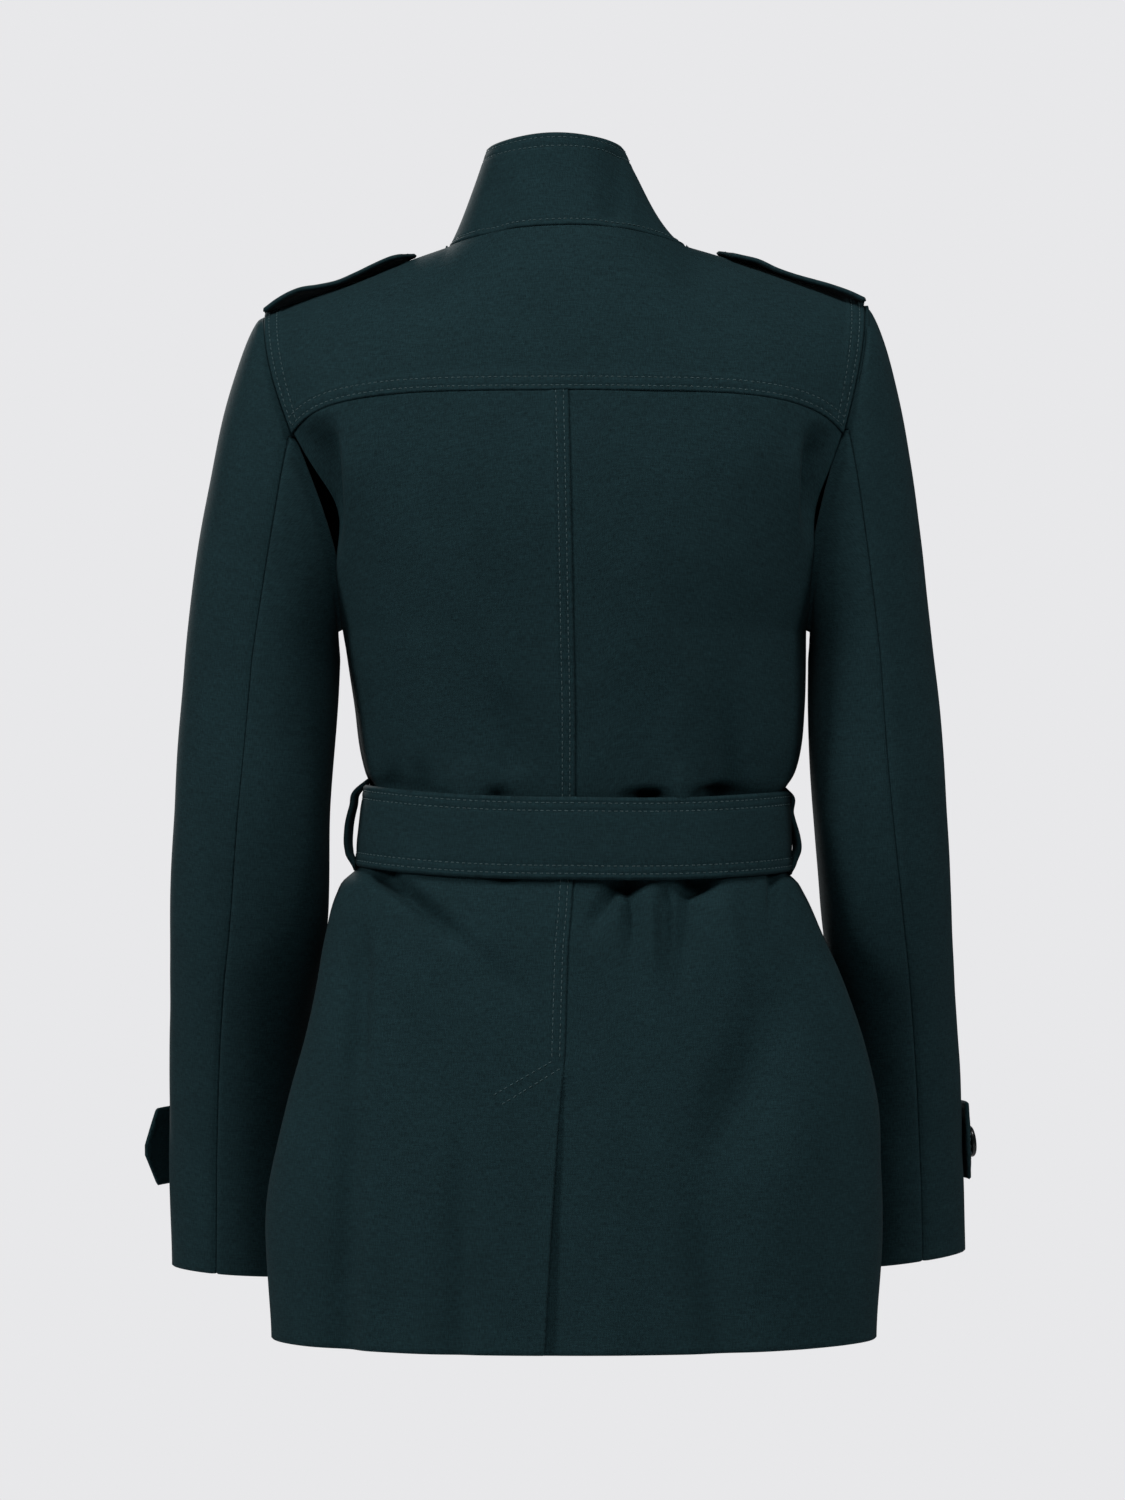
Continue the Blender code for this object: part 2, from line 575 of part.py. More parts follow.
def add_loop(side):
    """Belt loop at the side seam, sewn down above and below the belt and standing off it."""
    def surface(down, across):
        level = LOOP_TOP + (LOOP_BOTTOM[side] - LOOP_TOP) * down
        bow = np.sin(np.pi * np.clip(down, 0, 1) ** LOOP_LOW) ** LOOP_FULLNESS
        off_body = LOOP_GAP[side] + (LOOP_BULGE[side] + LOOP_TWIST * across) * bow
        return ring(side, BACK, np.ones_like(down), level) + points(side * off_body, LOOP_HALF * across, 0)

    downs = (1 - np.cos(np.pi * np.linspace(0, 1, LOOP_ROWS + 1))) / 2
    cloth("belt_loop_" + SIDE_NAMES[side], surface, downs, (-1, 1), LOOP_WALL, side)


def add_button(name, surface, place, out):
    """Round button sitting on a surface."""
    u, v = (np.array(value, float) for value in place)
    seat = lifted(surface, out, lambda u, v: BUTTON_GAP)(u, v)
    above = lifted(surface, out, lambda u, v: BUTTON_GAP + BUTTON_THICK)(u, v)
    mesh = bpy.data.meshes.get("button") or button_mesh()
    made = bpy.data.objects.new(name, mesh)
    made.location = Vector(seat) * MM
    made.rotation_mode = "QUATERNION"
    made.rotation_quaternion = Vector(above - seat).to_track_quat("Z", "Y")
    bevel = made.modifiers.new("edge", "BEVEL")
    bevel.width = BUTTON_BEVEL * MM
    bevel.segments = 1
    bpy.data.collections[OBJECT_NAME].objects.link(made)


def button_mesh():
    """Disc that every button shares, with its base at the origin."""
    shape = bmesh.new()
    bmesh.ops.create_cone(shape, cap_ends=True, segments=BUTTON_SIDES, radius1=BUTTON_RADIUS * MM,
                          radius2=BUTTON_RADIUS * MM, depth=BUTTON_THICK * MM)
    bmesh.ops.translate(shape, verts=shape.verts, vec=(0, 0, BUTTON_THICK / 2 * MM))
    mesh = bpy.data.meshes.new("button")
    shape.to_mesh(mesh)
    shape.free()
    mesh.materials.append(finish("button_horn"))
    return mesh


def rounded_rectangle(curve, left, right, height):
    """Add a closed outline with rounded corners to a flat curve."""
    spline = curve.splines.new("POLY")
    west, east = left + BUCKLE_CORNER, right - BUCKLE_CORNER
    north = height / 2 - BUCKLE_CORNER
    corners = ((east, north, 0), (west, north, 90), (west, -north, 180), (east, -north, 270))
    outline = []
    for x, y, start in corners:
        for turn in CORNER_TURNS:
            angle = math.radians(start + turn)
            outline.append((x + BUCKLE_CORNER * math.cos(angle), y + BUCKLE_CORNER * math.sin(angle)))
    spline.points.add(len(outline) - 1)
    for point, (x, y) in zip(spline.points, outline):
        point.co = (x * MM, y * MM, 0, 1)
    spline.use_cyclic_u = True


def add_buckle(seat):
    """Plain slide buckle with a centre bar, flat against the belt's free end."""
    curve = bpy.data.curves.new("buckle", "CURVE")
    curve.dimensions = "2D"
    curve.fill_mode = "BOTH"
    curve.extrude = BUCKLE_THICK / 2 * MM
    half = BUCKLE_WIDTH / 2
    rounded_rectangle(curve, -half, half, BUCKLE_HEIGHT)
    window = BUCKLE_HEIGHT - 2 * BUCKLE_RAIL
    rounded_rectangle(curve, BUCKLE_RAIL / 2, half - BUCKLE_RAIL, window)
    rounded_rectangle(curve, BUCKLE_RAIL - half, -BUCKLE_RAIL / 2, window)
    made = add_object("buckle", curve, "buckle_resin")
    made.location = (Vector(seat) - Vector((0, BUCKLE_THICK / 2, 0))) * MM
    made.rotation_euler = (math.pi / 2, 0, 0)


def build():
    for leftover in list(bpy.data.objects):
        bpy.data.objects.remove(leftover)
    bpy.context.scene.collection.children.link(bpy.data.collections.new(OBJECT_NAME))
    add_yoke()
    add_collar()
    add_belt()
    for side in (LEFT, RIGHT):
        add_back(side)
        add_front(side)
        add_sleeve(side)
        add_straps(side)
        add_loop(side)
    for number, row in enumerate(FRONT_BUTTON_ROWS, 1):
        add_button("button_front_%d" % number, quarter(RIGHT, FRONT), (0, row), RIGHT)


build()
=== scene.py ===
"""Looks of a belted utility jacket, filled out as it is worn: woven cloth pieces with their creases, laps and
stitching, horn-like buttons and a slide buckle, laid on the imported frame.

Sizes in the tables are in millimetres and degrees. +Z is up, +X the wearer's left and +Y the jacket's back.
"""

import json
import math
from collections import namedtuple

import bmesh
import bpy
import numpy as np
from bpy.props import FloatProperty, FloatVectorProperty, PointerProperty
from mathutils import Matrix, Vector


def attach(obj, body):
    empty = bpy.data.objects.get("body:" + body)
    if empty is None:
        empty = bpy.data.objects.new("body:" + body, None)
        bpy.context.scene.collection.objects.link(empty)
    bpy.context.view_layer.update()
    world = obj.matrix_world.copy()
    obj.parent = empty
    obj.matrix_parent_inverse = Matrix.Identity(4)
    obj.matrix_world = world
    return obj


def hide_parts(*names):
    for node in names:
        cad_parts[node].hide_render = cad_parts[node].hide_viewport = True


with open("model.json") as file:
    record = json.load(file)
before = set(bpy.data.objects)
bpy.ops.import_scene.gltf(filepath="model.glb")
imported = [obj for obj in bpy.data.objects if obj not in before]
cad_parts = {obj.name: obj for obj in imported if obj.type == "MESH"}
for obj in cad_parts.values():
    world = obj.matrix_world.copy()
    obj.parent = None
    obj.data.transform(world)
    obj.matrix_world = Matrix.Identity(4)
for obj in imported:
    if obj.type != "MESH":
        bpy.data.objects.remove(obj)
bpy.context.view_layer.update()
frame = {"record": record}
FINISHES = {material["slot"]: material for material in frame["record"]["materials"]}

bl_info = {
    "name": "Utility Jacket",
    "version": (1, 0, 0),
    "blender": (4, 5, 0),
    "location": "View3D > Sidebar > Jacket",
    "description": "Builds the cloth, stitching, buttons and buckle of a belted utility jacket",
    "category": "Object",
}

MM = 0.001
BODY_NAME = "root"
LEFT, RIGHT = 1, -1
BACK, FRONT = 1, -1
SIDES = (LEFT, RIGHT)
SIDE_NAMES = {LEFT: "left", RIGHT: "right"}

# The form, as in the frame: body rings from the hem up
Ring = namedtuple("Ring", "level seam left right back side front sag")
BODY = (
    Ring(-676, 3, 182, -190, 130, 36, -122, 3),
    Ring(-577, 3, 182, -194, 123, 38, -124, 0),
    Ring(-533, 3, 171, -191, 117, 36, -123, 0),
    Ring(-496, 2, 162, -182, 112, 31, -120, 0),
    Ring(-460, 1, 154, -170, 106, 24, -116, 1),
    Ring(-431, 0, 149, -158, 101, 18, -112, 3),
    Ring(-405, -2, 142.5, -147, 94, 12, -107, 6),
    Ring(-397, -2.4, 138.5, -142.5, 91.5, 10, -105, 6.5),
    Ring(-391, -2.8, 131.5, -136, 89.5, 9, -103, 7),
    Ring(-386, -3, 126.5, -132.5, 88, 8, -102, 7),
    Ring(-380, -3.1, 125, -132.2, 87.6, 7.5, -102, 7),
    Ring(-345, -3.9, 122, -132, 85.4, 4.4, -102, 7),
    Ring(-339, -4, 121.5, -136, 85, 4, -102, 7),
    Ring(-332, -4, 124.5, -140.5, 86, 4, -103, 6.5),
    Ring(-325, -4, 126.5, -143, 87.5, 3, -104, 6),
    Ring(-318, -4, 128, -144.5, 89, 3, -105, 5),
    Ring(-290, -4, 132, -147, 95, 2, -111, 3),
    Ring(-243, -3, 139, -148, 104, 0, -121, 0),
    Ring(-190, -2, 142, -148, 111, 0, -122, 0),
    Ring(-140, -1, 150, -152, 111, 0, -110, 0),
    Ring(-96, 0, 160, -160, 103, 0, -96, 0),
)
HEM, BELT_BOTTOM, BELT_TOP, UNDERARM = -676, -386, -339, -243
SQUARENESS = {BACK: 2.35, FRONT: 1.95}

# Armholes
Armhole = namedtuple("Armhole", "shoulder top under")
ARMHOLE = {LEFT: Armhole(186, -46, 139), RIGHT: Armhole(-183, -39, -148)}
ARMHOLE_DEPTH = {BACK: 63, FRONT: 56}
ARMHOLE_HOLLOW, ARMHOLE_DRAW = 1.2, 4

# How far cloth that runs past the side seam narrows by the underarm, and over which rows
PAST_LOSS, PAST_FROM, PAST_OVER = 0.9, 0.9, 0.2

# Neck seam, yoke seam, chest line, front lap and back vent
NECK_HALF, NECK_BACK, NECK_FRONT = 73, 65, 82
NECK_HEIGHTS, NECK_FRONT_BEND = (5, -4, -60), 1.6
NECK_SHARE = 0.42
NECK_LEAN = {BACK: 0.62, FRONT: 0.35}
YOKE_CENTRE, YOKE_DROP, YOKE_BEND = -98, 24, 3.5
CHEST = -122
FRONT_LAP = 0.084
VENT_TOP, VENT_SLANT, VENT_STEP = -505, 24, 40
VENT_OPEN, VENT_UNDER = 0.025, 0.105

# Collar
COLLAR_SHIFT, COLLAR_HALF, COLLAR_BACK, COLLAR_FRONT = 7, 43, 50, 68
COLLAR_HEIGHTS = (60, 54.5, 2)
COLLAR_END = 178
COLLAR_HOLLOW, COLLAR_HOLLOW_LEFT = 0.76, 0.09

# Sleeves
Section = namedtuple("Section", "level left_out left_in right_out right_in middle deep")
SLEEVE = (
    Section(-645, 250, 173, -252, -178, -80, 47),
    Section(-560, 250, 168, -249, -174, -62, 50),
    Section(-502, 249, 163, -245, -170, -44, 52),
    Section(-430, 247, 150, -240, -160, -15, 54),
    Section(-347, 243, 146, -235, -151.5, 0, 57),
    Section(-305, 240.5, 143, -232, -149.5, -2, 59),
    Section(-262, 237.5, 140.5, -228, -149.5, -2, 61),
)
CUFF, CUFF_TILT_FROM, BICEP = -645, -560, -262
CUFF_TILT = {LEFT: 3, RIGHT: 5}
CUFF_RISE = {LEFT: 1, RIGHT: 8.5}
SLEEVE_START, SLEEVE_UNDER = 2.0, 190
SLEEVE_HEAD, HEAD_PULL, ARM_PULL = (0.84, 0.4, -0.54), 0.3, 1.0
BACK_SEAM, FRONT_SEAM = 77, 232
BACK_SEAM_SWING, BACK_SEAM_SWING_END = 9, 1.5
ARM_GIRTH_STEP = 0.78

# Shoulder straps: the height of each one's top over the shoulder seam by its share of the length
StrapHeight = namedtuple("StrapHeight", "level left right")
SHOULDER_STRAP = (
    StrapHeight(0, 3.2, 3.2),
    StrapHeight(0.08, 6.0, 4.4),
    StrapHeight(0.23, 7.8, 4.8),
    StrapHeight(0.36, 5.6, 4.2),
    StrapHeight(0.48, 4.2, 3.7),
    StrapHeight(0.6, 5.0, 3.9),
    StrapHeight(0.73, 6.2, 5.6),
    StrapHeight(0.85, 6.6, 4.8),
    StrapHeight(1, 3.3, 3.3),
)
SHOULDER_STRAP_FROM, SHOULDER_STRAP_TO = 1.01, 0.19
SHOULDER_STRAP_HALF, SHOULDER_STRAP_TAPER = 22, 3
SHOULDER_STRAP_DROOP, SHOULDER_STRAP_ARCH, SHOULDER_STRAP_POINT = 4.5, 1.0, 0.9

# Cuff straps
CUFF_STRAP_LEVEL, CUFF_STRAP_HALF = {LEFT: -566, RIGHT: -564}, {LEFT: 24, RIGHT: 25.5}
CUFF_STRAP_FROM, CUFF_STRAP_TO = -122, {LEFT: -14, RIGHT: 14}
CUFF_STRAP_TIP, CUFF_STRAP_DROOP = {LEFT: 15, RIGHT: 2}, {LEFT: 4.5, RIGHT: 0}
CUFF_STRAP_LEAVES, CUFF_STRAP_POINT, CUFF_STRAP_BUTTON = 0.45, 0.92, 0.8
STRAP_GAP, STRAP_TIP_SHARE = 0.8, 0.12

# Belt, its free end, its loops and its buckle
BELT_GAP, BELT_WALL, BELT_ENDS_AT, BELT_DROP = 1.9, 3.0, 179.4, 3.5
BELT_END_FROM, BELT_END_TO, BELT_END_POINT, BELT_END_WALL = 184, 126, 0.85, 2.4
BELT_END_HALF = 0.48
LOOP_HALF, LOOP_WALL = 5.5, 2.8
LOOP_TOP = {LEFT: -334, RIGHT: -339.5}
LOOP_BOTTOM = {LEFT: -390.5, RIGHT: -393}
LOOP_BULGE, LOOP_TWIST = {LEFT: 13.4, RIGHT: 12.2}, 1.4
Bow = namedtuple("Bow", "level out")
LOOP_BOW = (
    Bow(0, 0), Bow(0.09, 0.58), Bow(0.3, 0.84), Bow(0.56, 1), Bow(0.76, 0.9), Bow(0.9, 0.6), Bow(1, 0.06),
)
BUCKLE_WIDTH, BUCKLE_HEIGHT, BUCKLE_RAIL, BUCKLE_THICK, BUCKLE_CORNER = 52, 60, 6, 3, 5
BUCKLE_SEAT = 0.9

# Buttons
BUTTON_GAP = 0.75
FRONT_BUTTON_ROWS = (2.5, 1.74, 1.0, 0.53, 0.33)

# Topstitching: distances of the two rows from a seam or an edge, the lift of the turned-in allowance under
# them, and the depth and width of the groove that each row draws in
SEAM_ROWS, ARMHOLE_ROWS, BELT_ROWS = (2.2, 7.6), (2.6, 7.8), (2.1, 6.9)
COLLAR_ROWS, NECK_ROWS, STRAP_ROWS, LOOP_ROWS = (1.6, 7.2), (2.6,), (3.5,), (2.0,)
WELT_LIFT, WELT_FALL = 0.8, 3.0
GROOVE_DEPTH, GROOVE_WIDTH = 0.45, 0.9
TUCK_DEPTH, TUCK_TURN, TUCK_REACH = 2.0, 2.6, 5.0

# Creases: a line on the cloth from one point to another, the width of its flank on the wearer's left and on
# the right of it, its depth (a trough is negative), and the share of its length over which it grows and fades
# (nought where it stops short, over the abrupt share past its end)
ABRUPT = 0.1
Fold = namedtuple("Fold", "x z to_x to_z left right depth grow fade")
BACK_FOLDS = (
    Fold(148, -110, 144, -212, 13, 6, -15, 0.2, 0.5),
    Fold(134, -122, 133, -206, 3.5, 9, 2.2, 0.3, 0.6),
    Fold(-151, -114, -148, -196, 5, 10, -11, 0.25, 0.5),
    Fold(-139, -122, -140, -200, 9, 3.5, 2.0, 0.3, 0.6),
    Fold(-44, -176, -94, -290, 11, 13, -3.6, 0.6, 0.4),
    Fold(-92, -246, -98, -358, 11, 13, -7.5, 0.8, 0),
    Fold(-58, -270, -70, -352, 11, 11, 2.6, 0.7, 0),
    Fold(112, -216, 98, -358, 22, 18, -5.6, 0.7, 0),
    Fold(64, -318, 58, -356, 10, 12, 3.6, 0.5, 0),
    Fold(41, -372, 42, -335, 7, 7, -5, 0, 0.3),
    Fold(38, -270, 30, -336, 10, 9, -2.4, 0.4, 0.2),
    Fold(92, -316, 88, -352, 8, 7, -3.2, 0.5, 0),
    Fold(112, -322, 110, -352, 5, 6, -3.4, 0.5, 0),
    Fold(-49, -372, -48, -338, 11, 10, -11, 0, 0.2),
    Fold(-89, -372, -90, -337, 10, 12, -10, 0, 0.2),
    Fold(-69, -352, -69, -318, 7, 8, 3.4, 0.1, 0.7),
    Fold(-39, -366, -39, -405, 8, 7, -14, 0, 0.3),
    Fold(-79, -366, -80, -407, 9, 9, -14, 0, 0.3),
    Fold(-33, -392, -9, -434, 5, 5, -6.4, 0.1, 0.7),
    Fold(-37, -394, -40, -460, 4, 4.5, -6, 0.1, 0.7),
    Fold(-49, -394, -55, -476, 5, 5, 3.6, 0.2, 0.7),
    Fold(-61, -394, -59, -462, 4.5, 4.5, -6, 0.2, 0.6),
    Fold(-74, -394, -68, -478, 6, 8, -7.5, 0.1, 0.7),
    Fold(-92, -400, -110, -470, 9, 9, 4.5, 0.2, 0.7),
    Fold(-127, -386, -124, -432, 2.8, 3.2, -4.8, 0.1, 0.6),
    Fold(119, -384, 44, -448, 7, 5, -12, 0.08, 0.7),
    Fold(60, -434, 20, -476, 9, 9, -3, 0.4, 0.5),
    Fold(112, -422, 80, -496, 10, 12, 3, 0.5, 0.5),
    Fold(128, -408, 128, -534, 9, 8, -9, 0.3, 0.3),
    Fold(128, -500, 137, -706, 12, 9, -8, 0.3, 0),
    Fold(90, -516, 88, -706, 13, 14, 3, 0.6, 0),
    Fold(63, -510, 65, -706, 8, 7, -4.6, 0.5, 0),
    Fold(37, -366, 37, -400, 7, 7, -5, 0, 0.3),
    Fold(-136, -440, -74, -600, 17, 20, -8.5, 0.5, 0.5),
    Fold(-76, -556, -96, -706, 13, 15, -7, 0.5, 0),
    Fold(-158, -480, -106, -660, 17, 19, 3, 0.6, 0.6),
    Fold(-26, -560, -32, -706, 11, 15, 2, 0.6, 0),
)
FRONT_FOLDS = (
    Fold(-40, -372, -41, -333, 9, 9, -8, 0, 0.3),
    Fold(-36, -356, -46, -256, 9, 11, -3.4, 0, 0.8),
    Fold(53, -372, 54, -334, 9, 8, -9, 0, 0.3),
    Fold(88, -358, 98, -270, 12, 10, -5, 0, 0.8),
    Fold(-92, -358, -99, -280, 10, 12, -5, 0, 0.8),
    Fold(70, -356, 74, -316, 8, 8, 2.6, 0, 0.7),
    Fold(-46, -366, -60, -470, 8, 10, -7, 0, 0.8),
    Fold(38, -366, 48, -446, 9, 8, -6.5, 0, 0.8),
    Fold(58, -382, 67, -470, 7, 8, 3, 0.2, 0.7),
    Fold(84, -366, 110, -490, 10, 12, -6, 0, 0.8),
    Fold(-74, -382, -90, -480, 9, 9, 3, 0.2, 0.7),
    Fold(-100, -366, -132, -490, 12, 10, -6, 0, 0.8),
    Fold(134, -130, 118, -214, 6, 11, -4.5, 0.2, 0.6),
    Fold(-137, -128, -124, -220, 11, 6, -4.2, 0.2, 0.6),
    Fold(96, -480, 118, -706, 16, 14, -4.5, 0.5, 0),
    Fold(-104, -470, -122, -706, 14, 16, -4.2, 0.5, 0),
    Fold(60, -520, 66, -706, 14, 12, 2.2, 0.5, 0),
)
SLEEVE_FOLDS = {
    LEFT: (
        Fold(196, -372, 262, -398, 9, 9, -3.2, 0.4, 0.5),
        Fold(204, -408, 270, -426, 8, 10, -4, 0.4, 0.5),
        Fold(190, -446, 252, -468, 10, 9, -2.6, 0.4, 0.5),
        Fold(40, -560, 66, -470, 14, 12, -0.7, 0.5, 0.5),
        Fold(-40, -250, -70, -330, 14, 16, -0.9, 0.4, 0.5),
    ),
    RIGHT: (
        Fold(200, -366, 258, -386, 8, 10, -3.5, 0.4, 0.5),
        Fold(188, -404, 266, -430, 10, 9, -3.8, 0.4, 0.5),
        Fold(202, -452, 256, -470, 9, 9, -2.4, 0.4, 0.5),
        Fold(30, -500, 52, -420, 15, 12, -0.6, 0.5, 0.5),
        Fold(-50, -240, -78, -322, 15, 15, -1.0, 0.4, 0.5),
    ),
}
COLLAR_FOLDS = (
    Fold(-30, 2, -34, 60, 6, 10, -2.8, 0.2, 0.2),
    Fold(47, -2, 42, 44, 8, 5, -2.2, 0.2, 0.4),
)

# Slow unevenness of cloth that nothing presses flat: wave lengths along X, Y and Z, phase and height
Sway = namedtuple("Sway", "x y z phase height")
SWAYS = (
    Sway(150, 210, 260, 0.4, 0.55),
    Sway(-96, 160, 118, 1.9, 0.35),
    Sway(61, -90, -83, 3.1, 0.18),
    Sway(37, 44, 52, 5.2, 0.07),
)

# Steps of the meshes, and the worked zone along an edge where they are finer
STEP, FINE_STEP, WORKED, BROAD_STEP = 2.8, 0.8, 12.0, 5.0
SMALL_STEP = 1e-3

# The cut of each piece in metres: width, length and area of the flat cloth
Cut = namedtuple("Cut", "width length area")


# Curves and tables


def hermite(start, end, leave, arrive, t):
    """A cubic from start to end that leaves and arrives with the given tangents."""
    rest = 1 - t
    return (start * (1 + 2 * t) * rest**2 + end * t**2 * (3 - 2 * t)
            + leave * t * rest**2 - arrive * t**2 * rest)


def column(table, name, level):
    """One column of a table as a smooth function of the level."""
    levels = np.array([row.level for row in table], float)
    values = np.array([getattr(row, name) for row in table], float)
    slopes = np.gradient(values, levels)
    level = np.clip(level, levels[0], levels[-1])
    i = np.clip(np.searchsorted(levels, level) - 1, 0, len(levels) - 2)
    step = levels[i + 1] - levels[i]
    share = (level - levels[i]) / step
    return hermite(values[i], values[i + 1], slopes[i] * step, slopes[i + 1] * step, share)


def ease(t):
    """A soft step from 0 to 1."""
    t = np.clip(t, 0, 1)
    return t * t * (3 - 2 * t)


def points(x, y, z):
    """Coordinates, each a number or an array, as points."""
    return np.stack(np.broadcast_arrays(x, y, z), axis=-1).astype(float)


def paired(u, v):
    """Two parameters, each a number or an array, as arrays of one shape."""
    return np.broadcast_arrays(np.asarray(u, float), np.asarray(v, float))


def size_of(vectors):
    return np.linalg.norm(vectors, axis=-1)


def unit(vectors):
    return vectors / np.maximum(size_of(vectors)[..., None], 1e-12)


def walked(line):
    """Distance along a line of points to each of them."""
    return np.append(0, np.cumsum(size_of(np.diff(line, axis=0))))


def facing(surface, out, u, v):
    """Outward directions of a surface."""
    across = surface(u + SMALL_STEP, v) - surface(u - SMALL_STEP, v)
    along = surface(u, v + SMALL_STEP) - surface(u, v - SMALL_STEP)
    return out * unit(np.cross(across, along))


def skinned(surface, out, relief):
    """A surface moved out along its own normals by relief(u, v, place)."""
    def skin(u, v):
        u, v = paired(u, v)
        place = surface(u, v)
        return place + facing(surface, out, u, v) * relief(u, v, place)[..., None]
    return skin


# The form of the jacket


def armhole(side, turn):
    """Armhole seam: turn 0 is the shoulder point, 90 the back, 180 the underarm, 270 the front."""
    hole = ARMHOLE[side]
    turn = np.radians(turn)
    height = (1 + np.cos(turn)) / 2
    depth = np.where(np.sin(turn) > 0, ARMHOLE_DEPTH[BACK], ARMHOLE_DEPTH[FRONT])
    x = hole.under + (hole.shoulder - hole.under) * ease(height) ** ARMHOLE_HOLLOW
    return points(x, depth * np.sin(turn), UNDERARM + (hole.top - UNDERARM) * height)


def armhole_turn(side, level):
    """How far round the armhole a level lies, from the shoulder point."""
    height = np.clip((level - UNDERARM) / (ARMHOLE[side].top - UNDERARM), 0, 1)
    return np.degrees(np.arccos(2 * height - 1))


def ring(side, face, across, level):
    """A quarter of the body's ring, from the centre line (across 0) to the side seam or the armhole (1)."""
    centre = column(BODY, "seam", level)
    widest = column(BODY, "side", level)
    depth = np.abs(column(BODY, "back" if face == BACK else "front", level) - widest)
    power = 2 / SQUARENESS[face]
    edge = armhole(side, face * armhole_turn(side, level))
    above = level > UNDERARM
    edge_angle = np.arccos(np.clip(np.abs(edge[..., 1] - widest) / depth, 0, 1) ** (1 / power))
    edge_angle = np.where(above, edge_angle, np.pi / 2)
    reach = np.where(above, edge[..., 0], column(BODY, SIDE_NAMES[side], level)) - centre
    angle = across * edge_angle
    x = centre + reach * np.sign(angle) * np.abs(np.sin(angle) / np.sin(edge_angle)) ** power
    y = widest + face * depth * np.abs(np.cos(angle)) ** power
    dip = column(BODY, "sag", level) * np.cos(angle) ** 2 * (face == BACK)
    return points(x, y, level - dip)


def belt_line(angle, level):
    """The body's whole ring at a level: angle 0 is the centre back, 90 the left side, 180 the front."""
    angle = (np.asarray(angle, float) + 180) % 360 - 180
    turn = np.abs(angle)
    quarters = {
        (side, face): ring(side, face, turn / 90 if face == BACK else (180 - turn) / 90, level)
        for side in SIDES for face in (BACK, FRONT)
    }
    behind = (turn <= 90)[..., None]
    left, right = (np.where(behind, quarters[side, BACK], quarters[side, FRONT]) for side in SIDES)
    return np.where((angle >= 0)[..., None], left, right)


def neck_ring(angle, centre, half, back, front, heights):
    """A ring round the neck: angle 0 is the centre back, 90 the left shoulder, 180 the centre front."""
    angle = np.radians(angle)
    behind = np.clip(np.cos(angle), 0, 1)
    before = np.clip(-np.cos(angle), 0, 1)
    at_back, at_side, at_front = heights
    z = at_side + (at_back - at_side) * behind**2 + (at_front - at_side) * before**NECK_FRONT_BEND
    return points(centre + half * np.sin(angle), back * behind - front * before, z)


def neck_seam(angle):
    return neck_ring(angle, 0, NECK_HALF, NECK_BACK, NECK_FRONT, NECK_HEIGHTS)


def shoulder_seam(side, share):
    """Shoulder seam, from the neck (0) to the armhole (1)."""
    start = neck_seam(side * 90)
    return start + (armhole(side, 0) - start) * np.asarray(share, float)[..., None]


def low_line(face, across):
    """Level where the upper body begins: the yoke seam at the back, a level line at the chest."""
    if face == BACK:
        return YOKE_CENTRE - YOKE_DROP * np.abs(across) ** YOKE_BEND
    return CHEST + 0 * across


def top_line(side, face, across):
    """Top edge of a quarter: the neck seam, then the shoulder seam out to the armhole."""
    share = across / NECK_SHARE
    at_neck = neck_seam(side * (90 * share if face == BACK else 180 - 90 * share))
    at_shoulder = shoulder_seam(side, np.clip((across - NECK_SHARE) / (1 - NECK_SHARE), 0, None))
    return np.where((across < NECK_SHARE)[..., None], at_neck, at_shoulder)


def shoulder_turn(side, face, across, rise):
    """Cloth from the yoke seam or the chest (rise 0) over to the neck and shoulder seams (rise 1)."""
    level = low_line(face, across)
    low = ring(side, face, across, level)
    high = top_line(side, face, across)
    length = size_of(high - low)[..., None]
    leave = unit(ring(side, face, across, level + 1) - low) * length
    lean = NECK_LEAN[face] + (1 - NECK_LEAN[face]) * ease(np.abs(across) / NECK_SHARE)
    arrive = points(0, -face * lean, np.sqrt(1 - lean**2)) * length
    return hermite(low, high, leave, arrive, rise[..., None])


def upper(side, face, across, rise):
    """Upper body, with its outer edge drawn onto the armhole seam."""
    start = armhole_turn(side, low_line(face, 1.0))
    seam = armhole(side, face * start * (1 - rise))
    drawn = seam - shoulder_turn(side, face, np.ones_like(rise), rise)
    return shoulder_turn(side, face, across, rise) + drawn * (across**ARMHOLE_DRAW)[..., None]


def quarter(side, face):
    """Surface of a quarter of the jacket: rows 0 to 1 run from hem to underarm, 1 to 2 up to the yoke seam
    or the chest, and 2 to 3 over the shoulder. Past the side seam it goes on towards the other face."""
    def surface(across, row):
        across, row = paired(across, row)
        past = np.clip(across - 1, 0, None) * (1 - PAST_LOSS * ease((row - PAST_FROM) / PAST_OVER))
        across = np.clip(across, None, 1)
        start = math.radians(armhole_turn(side, low_line(face, 1.0)))
        climb = np.clip(row - 1, 0, 1)
        share = (1 - np.cos((np.pi - start) * climb)) / (1 + math.cos(start))
        level = HEM + (UNDERARM - HEM) * np.clip(row, 0, 1) + (low_line(face, across) - UNDERARM) * share
        over = upper(side, face, across, np.clip(row - 2, 0, None))
        place = np.where((row > 2)[..., None], over, ring(side, face, across, level))
        return place - points(0, face * past * np.abs(ARMHOLE[side].under), 0)
    return surface


